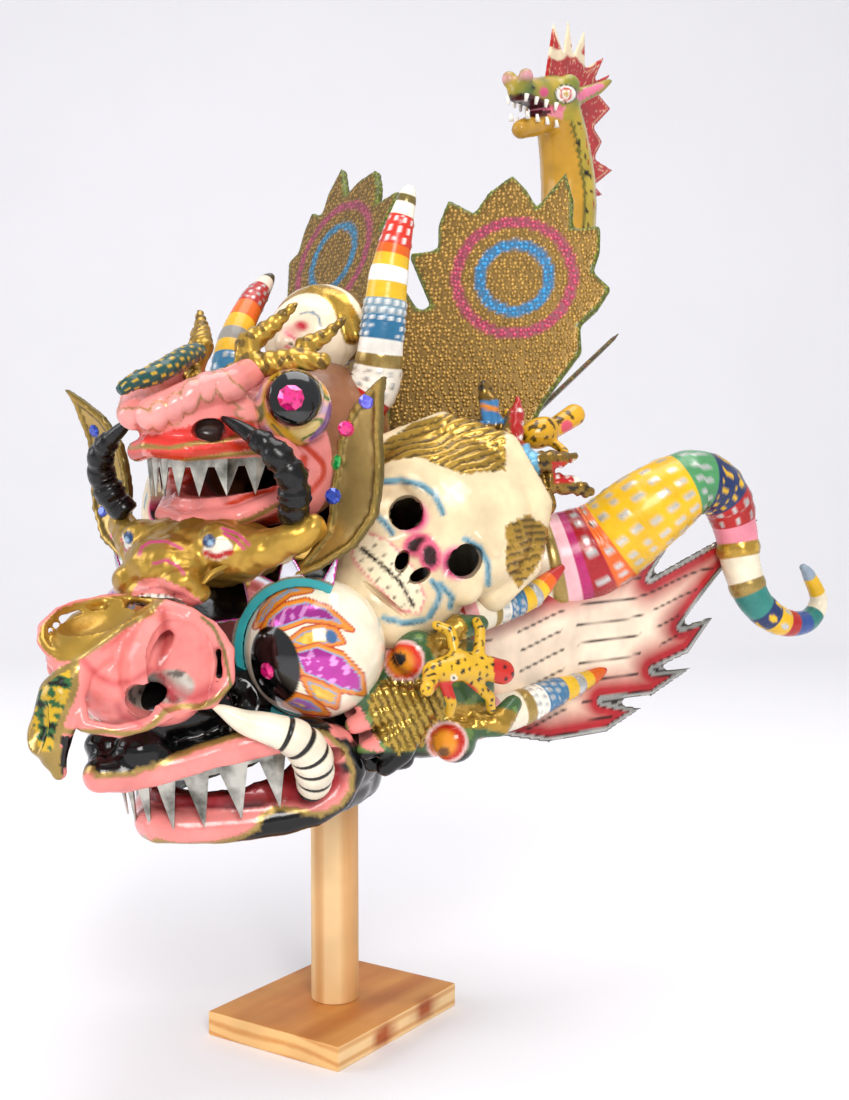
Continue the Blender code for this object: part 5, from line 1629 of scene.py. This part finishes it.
CREATURE_BLOT = ((567, 427), (6, 7))
LIZARD_RED = [(494, 656), (524, 656), (524, 690), (494, 690)]
LIZARD_DOTS = ((505, 667), (513, 674), (506, 679), (516, 664))


def make_creatures():
    """The yellow creature behind each small mask and the lizard under each skull."""

    def creature_lumps(bm):
        ball(bm, (148, 66, 468), (12, 17, 12), turn=(20, 0, -30))
        chain(bm, [(154, 78, 472), (160, 98, 482)], [8, 9])
        chain(bm, [(138, 60, 464), (130, 52, 476), (126, 54, 484)], [4, 3.5, 3])
        chain(bm, [(154, 72, 462), (168, 68, 454), (172, 62, 446)], [4, 3.5, 3])

    thing = fine_form("yellow_creature_left_painted", creature_lumps, None, voxel=1.6)
    skin = Skin(thing, "dda626", rough=0.16)
    skin.coat(ripple(skin.points, 7, 33) < -0.6, "5a4312")
    skin.spot(*CREATURE_BLOT, "d9536a", 0, 2)
    skin.finish()
    put_pair(thing, enamel, "yellow_paint", "yellow_creature")

    def lizard_lumps(bm):
        chain(bm, [(155, -92, 304), (163, -70, 306), (172, -50, 303), (177, -38, 299)], [8, 11, 9, 9])
        chain(bm, [(155, -92, 302), (162, -108, 298), (166, -116, 296)], [7, 6, 5])
        chain(bm, [(162, -74, 312), (156, -72, 330), (148, -78, 334)], [4.5, 4, 3.5])
        chain(bm, [(170, -58, 312), (164, -46, 328), (158, -42, 334)], [4.5, 4, 3.5])
        chain(bm, [(166, -66, 298), (172, -46, 282), (168, -38, 272)], [4.5, 4, 3.5])
        chain(bm, [(158, -84, 298), (162, -80, 282), (158, -76, 274)], [4.5, 4, 3.5])

    thing = fine_form("lizard_left_painted", lizard_lumps, None, voxel=1.6)
    skin = Skin(thing, "d9aa28", rough=0.16)
    skin.coat(ripple(skin.points, 5, 34) < -0.62, "2c2410")
    skin.patch(LIZARD_RED, "c22a20", 0, 0.14)
    for centre in LIZARD_DOTS:
        skin.spot(centre, (1.8, 2.2), "1c120c")
    lay_details(skin, LIZARD_HEAD_DETAILS)
    skin.finish()
    put_pair(thing, enamel, "yellow_paint", "lizard")


DRAGON_LIP = [(516, 107), (536, 106), (560, 108)]
DRAGON_SPOTS = ((521, 95), (528, 99), (537, 102), (533, 88))
DRAGON_FACE_DETAILS = [
    ("pink cheek", "spot", (544, 92), (4.5, 5), "d9537f", 0, 2),
    ("pink nostrils", "spot", (530, 74), (12, 5), "d99aa0", 10, 5),
]
DRAGON_EYE = (566, 94)
DRAGON_EYE_RINGS = (
    ((11.5, 9.5), "1f2416"), ((10, 8.2), "f5f0e6"), ((6.2, 6.6), "c22a2a"), ((4.6, 4.8), "f5f0e6"),
    ((3.0, 3.2), "c9a03a"),
)
DRAGON_EAR = [(576, 96), (584, 88), (602, 83), (606, 86), (594, 94), (580, 102)]


def paint_neck(skin):
    """Yellow belly, spotted green-gold sides and a pale blue back, by the side of the neck's line."""
    path = np.array([tuple(point[:3]) for point in smooth_path(DRAGON_NECK, 6)])
    nearest = np.full(skin.count, 1e9)
    ahead = np.zeros(skin.count)
    for y, z in path[:, 1:]:
        away = skin.points[:, 1:] - np.array((y, z))
        reach = np.hypot(away[:, 0], away[:, 1])
        closer = reach < nearest
        nearest = np.where(closer, reach, nearest)
        full = np.sqrt(reach**2 + skin.points[:, 0] ** 2) + 1e-6
        ahead = np.where(closer, (0.1 * away[:, 1] - 0.9 * away[:, 0]) / full, ahead)
    neck = skin.points[:, 2] < 775
    skin.coat(neck, "b39b3a", 0, 0.2)
    skin.coat(neck * (ahead > 0.42), "c3922f", 0, 0.2)
    skin.coat(neck * fall(np.abs(ahead - 0.42), 0.05, 0.05), "5d5a22")
    skin.coat(neck * (ahead < -0.72), "8fb6c4", 0, 0.2)
    spots = ripple(skin.points, 9, 43)
    skin.coat(neck * (ahead > 0.08) * (ahead < 0.42) * fall(-spots, -0.55, 0.1), "1c1a10")
    skin.coat(neck * (ahead > -0.7) * (ahead < 0.08) * fall(spots, -0.6, 0.1), "a3281c")


def make_dragon():
    """Green and gold skin with a yellow belly, black and red spots, a pink mouth with pegs for teeth."""

    def lumps(bm):
        dragon_lumps(bm)
        for side in (-1, 1):
            chain(bm, [(side * 15, 350, 801), (side * 20, 346, 799)], [9, 8])

    thing = fine_form("dragon_painted", lumps, dragon_hollows, voxel=2.6)
    skin = Skin(thing, "8f8b35", rough=0.22)
    blotch = ripple(skin.points, 26, 41)
    skin.coat(np.clip(blotch, 0, 1), "b59a36")
    skin.coat(np.clip(-blotch - 0.2, 0, 1), "5f7a42")
    paint_neck(skin)
    head = skin.points[:, 2] > 775
    skin.coat(head * (skin.points[:, 1] < 345) * (skin.points[:, 2] < 786), "e58a97", 0, 0.14)
    skin.stroke(DRAGON_LIP, "e06b86", 2.6, 1.5)
    mouth = skin.in_ball((0, 300, 779), (32, 40, 9), 0.1)
    skin.coat(mouth * (np.abs(skin.normals[:, 2]) > 0.3), "4a1216", 0, 0.3)
    for spot in DRAGON_SPOTS:
        skin.spot(spot, (2.4, 2.0), "14180c")
    lay_details(skin, DRAGON_FACE_DETAILS)
    for size, colour in DRAGON_EYE_RINGS:
        skin.spot(DRAGON_EYE, size, colour, 0, 1.0, 0, 0.06)
    skin.patch(DRAGON_EAR, "e07a96", 0, 0.14)
    skin.finish()
    put(thing, enamel, "olive_paint", "dragon")
    bm = bmesh.new()
    for side in (-1, 1):
        for k in range(4):
            along = 284 + 15 * k
            wide = side * (10 + 2.2 * k)
            limb(bm, (wide, along, 787), (wide * 0.95, along - 1, 780), 2.6, 1.4, 8)
            limb(bm, (wide * 0.9, along + 4, 765), (wide * 0.88, along + 3, 772), 2.6, 1.4, 8)
    teeth = from_bmesh("dragon_teeth", bm)
    Skin(teeth, "f6f1e6", rough=0.12).finish()
    put(teeth, enamel, "cream_gloss")


# A band is its share of the length, its colour, its dots' colour, its swell in millimetres and its gilding.
RAINBOW = [
    (1.0, "efdfc2", None, 0, 0), (0.34, RIM_GOLD, None, 1.2, 0.5), (0.35, "f0b9c0", None, 0, 0),
    (0.3, MAGENTA, None, 0, 0), (0.55, "a31a20", SILVER, 0.5, 0), (0.45, ORANGE, SILVER, 0, 0),
    (2.4, YELLOW, SILVER, 0.8, 0), (0.6, "4c8f5c", SILVER, 0, 0), (0.9, "20305c", YELLOW, 0.5, 0),
    (0.8, RED, SILVER, 0.6, 0), (0.6, "e6899a", None, 0, 0), (0.4, GOLD, BRASS, 1.2, 0.6),
    (0.7, CREAM, None, 0, 0), (0.3, RIM_GOLD, None, 0.8, 0.5), (0.6, TEAL, None, 0, 0),
    (0.5, "20305c", YELLOW, 0.5, 0), (0.5, YELLOW, SILVER, 0.5, 0), (0.4, RED, None, 0.3, 0),
    (0.6, BLUE, None, 0, 0), (0.5, TEAL, None, 0, 0), (0.7, CREAM, None, 0, 0), (0.6, YELLOW, None, 0, 0),
    (0.5, "8f9fae", None, 0, 0),
]
TOP_BANDS = [
    (0.7, RED, None, 0, 0), (1.2, "f1e6d6", SILVER, 0.4, 0), (0.45, RIM_GOLD, None, 0.6, 0.5),
    (0.5, "f4efe6", None, 0, 0), (0.9, "2f6f96", "e8e8e4", 0.4, 0), (0.6, "7d98a8", "e8e8e4", 0.6, 0),
    (0.6, "e8b92a", None, 0, 0), (0.6, "f6f3ee", None, 0.4, 0), (0.45, "e8b92a", None, 0, 0),
    (0.35, ORANGE, None, 0, 0), (1.2, "cf3526", "e8e8e4", 0.4, 0), (0.5, "f4ead8", None, 0, 0),
    (0.3, "7a6a3a", None, 0.3, 0.4), (0.4, "efe6d0", None, 0.3, 0),
]
FAR_TOP_BANDS = [
    (1.5, "356f92", SILVER, 0, 0), (0.4, "d9a82a", None, 0.3, 0), (0.4, "8f8b84", None, 0.5, 0),
    (0.5, "e8b02a", None, 0, 0), (0.6, ORANGE, None, 0, 0), (1.0, "b02a26", SILVER, 0.4, 0),
    (0.5, "f0dcc8", None, 0, 0), (0.4, "4c4226", None, 0.3, 0.4),
]
SMALL_BANDS = [
    (0.9, "b3231b", "f0f0ea", 0.4, 0), (0.4, "e8a0a4", None, 0, 0), (0.5, "f0e4cc", None, 0.4, 0),
    (0.25, RIM_GOLD, None, 0.8, 0.5), (0.4, "efe8da", SILVER, 0.3, 0), (0.7, "3f7398", SILVER, 0.4, 0),
    (0.4, "e8b92a", None, 0, 0), (0.25, SILVER, None, 0.8, 0.6), (0.35, "e8b92a", None, 0, 0),
    (0.5, ORANGE, None, 0.3, 0), (0.7, "b8302a", None, 0.2, 0),
]


def make_horns():
    side = banded_horn("side_horn_left_painted", SIDE_HORN, RAINBOW, sides=44, steps=320, gap=13.0)
    put_pair(side, enamel, "rainbow", "side_horn")
    near = banded_horn("top_horn_left_painted", TOP_HORN, TOP_BANDS, sides=28, steps=170)
    put(near, enamel, "rainbow", "top_horn_left")
    far = banded_horn("top_horn_right_painted", FAR_TOP_HORN, FAR_TOP_BANDS, sides=28, steps=150)
    put(far, enamel, "rainbow", "top_horn_right")
    for name, path in SMALL_HORNS.items():
        small = banded_horn(name + "_painted", path, SMALL_BANDS, sides=24, steps=110)
        put_pair(small, enamel, "rainbow", name.replace("_left", ""))
    rings = [(0.28, "1c1a18", None, -0.6, 0), (0.8, "efe4cc", None, 0.9, 0)] * 5
    rings += [(0.22, "1c1a18", None, -0.6, 0), (4.4, "efe4cc", None, 0.3, 0)]
    tusk = banded_horn("tusk_left_painted", TUSK, rings, sides=24, steps=150)
    put_pair(tusk, enamel, "cream_gloss", "tusk")
    knobs = [(1.0, BLACK, BLACK, 1.2, 0), (0.25, "120c0a", None, 0, 0)] * 5 + [(2.0, BLACK, None, 0.4, 0)]
    upper = banded_horn("upper_tusk_left_painted", UPPER_TUSK, knobs, sides=20, steps=120)
    put_pair(upper, enamel, "black_gloss", "upper_tusk")
    spotted = [(1, "1f4a46", "d1a628", 0.2, 0)]
    snake = banded_horn("nose_snake_painted", SNAKE, spotted, sides=24, steps=120)
    put(snake, enamel, "olive_paint", "nose_snake")


def make_ears():
    sheet = plate_skin("gold_ear_left_painted", EAR_OUTLINE, EAR_THICKNESS, voxel=1.7)
    skin = Skin(sheet, "6b5a2a", 0.5, 0.35)
    flat = skin.points[:, [0, 2]]
    edge = distance_to_line(flat, [*EAR_OUTLINE, EAR_OUTLINE[0]])
    skin.coat(fall(np.abs(edge - 3.0), 1.6, 1.0), "a98a45", 0.7, 0.25)
    skin.coat(edge > 6.2, "b7985a", 0.75, 0.34)
    front = np.where(skin.points[:, 1] < 0, 1.0, 0.5)
    hammered = 0.5 * ripple(skin.points, 7, 4) * (edge < 7)
    skin.carve(front * (2.2 * np.clip(1 - np.abs(edge - 3.0) / 3.4, 0, 1) + hammered))

    def curl(points):
        rise = (points[:, 2] - 435) / 65
        return np.column_stack((points[:, 0], points[:, 1] + 10 - 14 * rise * rise, points[:, 2]))

    move_to(skin, Matrix.Translation((0, -0.134, 0)), curl)
    skin.finish()
    return put_pair(skin.thing, enamel, "gold_paint", "gold_ear")


def sun_panel(name, centre, azimuth, lean, outline, rings):
    """A beaded card; rings is their middle, across and up, then their radii, half widths and colours."""
    turn = Matrix.Rotation(math.radians(azimuth), 4, "Z") @ Matrix.Rotation(math.radians(-lean), 4, "X")
    skin = Skin(plate_skin(name + "_beaded", outline, PANEL_THICKNESS, voxel=2.9), "b98f45", 0.65)
    flat = skin.points[:, [0, 2]]
    edge = distance_to_line(flat, [*outline, outline[0]])
    reach = np.hypot(flat[:, 0] - rings[0], flat[:, 1] - rings[1])
    for radius, half, colour in rings[2]:
        skin.coat(fall(np.abs(reach - radius), half, 0.8), colour, 0.0)
    skin.coat(edge < 2.8, "7f8a1e", 0.0)
    skin.coat(skin.points[:, 1] > 1.5, "7a6a3c", 0.1)
    move_to(skin, Matrix.Translation(Vector(centre) * MM) @ turn)
    skin.finish()
    put(skin.thing, beads, "gold_beads", name)


def make_panels():
    near = (3, 4, ((47, 4.2, "d8446a"), (28, 4.2, "2f9fe0")))
    far = (0, 4, ((51, 4.2, "c04a68"), (31, 4.0, "3f94c0")))
    sun_panel("sun_panel_left", (90, 120, 590), 27, 12, sun_outline(NEAR_TEETH, NEAR_FOOT), near)
    sun_panel("sun_panel_right", (-92, 124, 620), -19, 19, sun_outline(FAR_TEETH, FAR_FOOT), far)
    outline = [
        (-96, -9), (60, -26), (120, -22), (168, -4), (150, 4), (172, 16), (118, 20), (60, 22), (-96, 9),
    ]
    run = Vector((0.10, 0.84, 0.50)).normalized()
    across = Vector((0.556, -0.829, 0.059)).cross(run).normalized()
    flat = run.cross(across)
    turn = Matrix((run, across, flat)).transposed().to_4x4()
    place = Matrix.Translation(Vector((70, 160, 470)) * MM) @ turn
    skin = Skin(plate_skin("rear_wing_left_painted", outline, EAR_THICKNESS, voxel=2.4), "6d6230", 0.1)
    speckle = ripple(skin.points, 5, 6)
    skin.coat(speckle > 0.45, "8c3a1c")
    skin.coat(speckle < -0.5, "a88a3c", 0.5)
    move_to(skin, place)
    skin.finish()
    put_pair(skin.thing, beads, "gold_beads", "rear_wing")


def make_crest():
    tips = [Vector(tip) for tip in [*CREST_TIPS, (459, 722)]]
    outline = [Vector((336, 814))]
    for k, tip in enumerate(tips):
        outline.append(tip)
        after = tips[min(k + 1, len(tips) - 1)]
        middle = (tip + after) / 2
        hub = Vector((380, 790)) if middle.y > 840 else Vector((385, middle.y - 22))
        outline.append(middle.lerp(hub, 0.36))
    outline += [Vector(root) for root in CREST_ROOTS]
    outline = [tuple(point) for point in outline]
    skin = Skin(plate_skin("dragon_crest_painted", outline, CREST_THICKNESS, voxel=1.8), "b01216", 0.0, 0.12)
    flat = skin.points[:, [0, 2]]
    root = distance_to_line(flat, [(385, 790), (400, 740), (402, 716)])
    skin.coat(np.clip(1.2 - root / 22, 0, 1), "3c0d10")
    edge = distance_to_line(flat, [*outline, outline[0]])
    skin.coat(fall(np.abs(edge - 4.5), 0.4, 0.7), "e0b890")
    bearing = np.degrees(np.arctan2(flat[:, 1] - 800, flat[:, 0] - 385))
    rays = np.abs((bearing / 9 + 0.4 * ripple(skin.points, 30, 51)) % 1 - 0.5)
    skin.coat(fall(rays, 0.03, 0.04) * (root > 14), "d9a28a")
    for tip in tips[:3]:
        away = np.hypot(flat[:, 0] - tip.x, flat[:, 1] - tip.y)
        skin.coat(fall(np.abs(away - 31), 5, 1.0), "ead6b4")
    move_to(skin, Matrix.Rotation(math.radians(90), 4, "Z"))
    skin.finish()
    put(skin.thing, tin_paint, "red_gloss", "dragon_crest")


def make_wings():
    """Tin wings: cream with long black veins, red towards the flames, and a bare silver edge."""
    skin = Skin(plate_skin("wing_left_painted", WING_OUTLINE, WING_THICKNESS, voxel=2.0), "a8242a", 0.0, 0.2)
    flat = skin.points[:, [0, 2]]
    edge = distance_to_line(flat, [*WING_OUTLINE, WING_OUTLINE[0]])
    skin.coat(np.clip((edge - 9) / 20, 0, 1), "f3dcc4")
    level = flat[:, 1] + 3.5 * np.sin(flat[:, 0] / 19) - 0.16 * flat[:, 0]
    veins = np.abs((level / 15) % 1.0 - 0.5) * 15
    squeezed = np.column_stack((flat[:, 0], flat[:, 1] * 0.4, np.zeros(skin.count)))
    skin.coat(fall(veins, 0.7, 0.8) * (edge > 8) * (ripple(squeezed, 45, 52) > -0.45), "1c1512")
    skin.coat(edge < 4.0, "b4b2ac", 0.8, 0.25)
    skin.coat(fall(np.abs(edge - 4.4), 0.5, 0.8), "14100e")
    skin.coat(edge < 0.9, "2a2622", 0.2, 0.3)

    def dish(points):
        depth = 30 * np.cos(points[:, 2] / 85) * (0.4 + points[:, 0] / 300)
        return np.column_stack((points[:, 0], points[:, 1] + depth, points[:, 2]))

    run = Vector((0.58, 0.80, 0.05)).normalized()
    up = Vector((-0.04, -0.03, 1.0))
    back = -run.cross(up).normalized()
    up = back.cross(run) * -1.0
    turn = Matrix((run, back, up)).transposed().to_4x4()
    move_to(skin, Matrix.Translation(Vector((129, 6, 304)) * MM) @ turn, dish)
    skin.finish()
    put_pair(skin.thing, tin_paint, "red_gloss", "wing")


def make_lashes():
    """The teal lid with its mirror points, and the gilt ribbon over the bulb."""
    outline = lid_outline()
    outer = lid_inner() + LID_WIDTH / MM
    skin = Skin(plate_skin("eye_lashes_left_mirror", outline, TIN_THICKNESS, voxel=0.95), "e4e4ea", 1.0, 0.06)
    flat = skin.points[:, [0, 2]]
    edge = distance_to_line(flat, [*outline, outline[0]])
    reach = np.hypot(flat[:, 0], flat[:, 1])
    skin.coat(edge < 1.1, "c22a98", 0.3, 0.2)
    skin.coat(reach < outer + 0.5, "2f9aa0", 0.0, 0.14)
    skin.coat(fall(np.abs(reach - outer), 0.7, 0.8), "7a6236", 0.2, 0.3)
    middle = Vector(BIG_EYE) + Vector(EYE_LID_NORMAL).normalized() * LID_ADVANCE / MM
    move_to(skin, facing(middle, EYE_LID_NORMAL, (0, 0, 1)))
    skin.finish()
    put_pair(skin.thing, foil, "mirror", "eye_lashes")
    arc = [
        (38, -193, 365), (42, -186, 373), (50, -168, 379), (62, -150, 381), (76, -132, 378),
        (82, -124, 372),
    ]
    path = smooth_path(arc, 4)
    back = [point + Vector((2, 20, 7)) for point in path]
    thing = make_strip("gold_brow_left_painted", (path, back), 2 * TIN_THICKNESS)
    skin = Skin(thing, GOLD, 0.75, 0.32)
    skin.carve(0.5 * ripple(skin.points, 8, 9))
    skin.finish()
    put_pair(thing, enamel, "gold_paint", "gold_brow")


def on_surface(thing, pixel):
    """The first point of the piece seen at a pixel, in millimetres, and the way that it faces."""
    way = -BACK * FOCAL + RIGHT * (pixel[0] - PHOTO_WIDTH / 2) + UP * (PHOTO_HEIGHT / 2 - pixel[1])
    found, place, normal, _ = thing.ray_cast(CAMERA_PLACE, Vector(way).normalized())
    return (place / MM, normal) if found else None


GEM_BLUE = "1c3a9c"
GEM_PINK = "c2186a"
GEM_GREEN = "0f8a3c"
GEM_VIOLET = "5a5ad0"
# Stones down each ear's edge: pixel and colour.
NEAR_STONES = [
    ((367, 402), GEM_VIOLET), ((346, 429), GEM_PINK), ((336, 462), GEM_GREEN), ((333, 496), GEM_BLUE),
    ((319, 525), GEM_PINK), ((300, 540), GEM_GREEN),
]
FAR_STONES = [
    ((94, 431), GEM_BLUE), ((96, 452), GEM_PINK), ((103, 511), GEM_BLUE), ((115, 535), GEM_PINK),
    ((126, 555), GEM_GREEN),
]


# The stones set as eyes on both sides: the piece, the middle in pixels, the colour and the radius.
EYE_STONES = (
    ("big_eye", (267, 671), GEM_PINK, 6.0),
    ("upper_eye", (291, 398), GEM_PINK, 9.0),
    ("mini_mask", (470, 447), GEM_GREEN, 4.4),
    ("mini_mask", (531, 511), GEM_GREEN, 5.2),
)


def make_stones(near_ear, far_ear):
    """The cut stones glued on the ears, the bulbs' irises and the small masks' eyes."""
    bpy.context.view_layer.update()
    objects = bpy.data.objects
    stones = [(near_ear, pixel, colour, 5.6, (1,)) for pixel, colour in NEAR_STONES]
    stones += [(far_ear, pixel, colour, 5.0, (1,)) for pixel, colour in FAR_STONES]
    for name, pixel, colour, radius in EYE_STONES:
        stones.append((objects[name + "_left_painted"], pixel, colour, radius, (1, -1)))
    bm = bmesh.new()
    colours = []
    for thing, pixel, colour, radius, sides in stones:
        seat = on_surface(thing, pixel)
        if seat is None:
            continue
        for side in sides:
            turn = Matrix.Diagonal((side, 1, 1))
            before = len(bm.verts)
            gem(bm, turn @ seat[0], turn @ seat[1], radius)
            colours += [linear(colour)] * (len(bm.verts) - before)
    bmesh.ops.recalc_face_normals(bm, faces=bm.faces)
    thing = from_bmesh("glued_stones", bm)
    skin = Skin(thing, "ffffff", rough=0.05)
    skin.colour = np.array(colours)
    skin.finish()
    thing.data.shade_flat()
    put(thing, cut_glass, "mirror")


make_stand()
make_head()
make_nose()
make_mid_face()
make_teeth()
make_big_eyes()
make_upper_eyes()
make_upper_head()
make_third_face()
make_brow_leaves()
make_skulls()
make_mini_masks()
make_toads()
make_creatures()
make_dragon()
make_horns()
left_ear, right_ear = make_ears()
make_panels()
make_crest()
make_wings()
make_lashes()
make_stones(left_ear, right_ear)


def plain(name, colour, rough):
    """Plain paper for the sweep, a little uneven in tone."""
    material, tree, shader = new_material(name)
    place = node(tree, "ShaderNodeTexCoord").outputs["Object"]
    cloud = node(tree, "ShaderNodeTexNoise", {"Scale": 3.0}, {"Vector": place})
    shade = node(
        tree, "ShaderNodeMapRange", {"To Min": 0.98, "To Max": 1.02}, {"Value": cloud.outputs["Fac"]},
    )
    tinted = node(
        tree, "ShaderNodeHueSaturation", {"Color": (*linear(colour), 1)},
        {"Value": shade.outputs["Result"]},
    )
    tree.links.new(tinted.outputs["Color"], shader.inputs["Base Color"])
    shader.inputs["Roughness"].default_value = rough
    return material


def make_stage():
    """A pale sweep: a floor that curves up into a wall behind the mask."""
    bm = bmesh.new()
    half = 4.0
    profile = [(-3.0, 0.0)]
    profile += [(2.2 + 1.2 * math.sin(a), 1.2 - 1.2 * math.cos(a)) for a in np.linspace(0, math.pi / 2, 17)]
    profile.append((3.4, 5.0))
    rows = [[bm.verts.new((x, y, z)) for x in (-half, half)] for y, z in profile]
    for first, second in zip(rows, rows[1:]):
        bm.faces.new((first[0], first[1], second[1], second[0]))
    bmesh.ops.rotate(bm, cent=(0, 0, 0), matrix=Matrix.Rotation(CAMERA_AZIMUTH, 3, "Z"), verts=bm.verts)
    bmesh.ops.recalc_face_normals(bm, faces=bm.faces)
    floor = from_bmesh("studio_sweep", bm)
    floor.data.shade_smooth()
    floor.data.materials.append(plain("pale paper sweep", "f6f4f7", 0.9))


def soft_light(name, place, target, size, power, colour):
    lamp = bpy.data.lights.new(name, "AREA")
    lamp.shape = "RECTANGLE"
    lamp.size, lamp.size_y = size
    lamp.energy = power
    lamp.color = colour
    thing = bpy.data.objects.new(name, lamp)
    thing.location = place
    thing.rotation_mode = "QUATERNION"
    thing.rotation_quaternion = (Vector(target) - Vector(place)).to_track_quat("-Z", "Y")
    bpy.context.scene.collection.objects.link(thing)


def make_lights():
    middle = (0, 0, 0.45)
    soft_light("key", (1.9, -1.9, 1.7), middle, (1.0, 1.0), 54, (1.0, 0.98, 0.95))
    soft_light("fill", (-2.2, -1.8, 1.5), middle, (1.6, 1.6), 30, (0.97, 0.98, 1.0))
    soft_light("top", (0.2, 0.2, 2.6), middle, (1.6, 1.6), 30, (1.0, 0.99, 0.98))
    world = bpy.data.worlds.new("room")
    bpy.context.scene.world = world
    world.use_nodes = True
    world.node_tree.nodes["Background"].inputs["Color"].default_value = (0.9, 0.92, 0.95, 1)
    world.node_tree.nodes["Background"].inputs["Strength"].default_value = 0.65


def make_camera():
    camera = bpy.data.cameras.new("camera")
    camera.sensor_width = 36.0
    camera.lens = FOCAL / PHOTO_HEIGHT * camera.sensor_width
    thing = bpy.data.objects.new("camera", camera)
    thing.location = CAMERA_PLACE
    right, up, back = Vector(RIGHT), Vector(UP), Vector(BACK)
    thing.rotation_mode = "QUATERNION"
    thing.rotation_quaternion = Matrix((right, up, back)).transposed().to_quaternion()
    bpy.context.scene.collection.objects.link(thing)
    bpy.context.scene.camera = thing
    bpy.context.scene.view_settings.view_transform = "Standard"


make_stage()
make_lights()
make_camera()
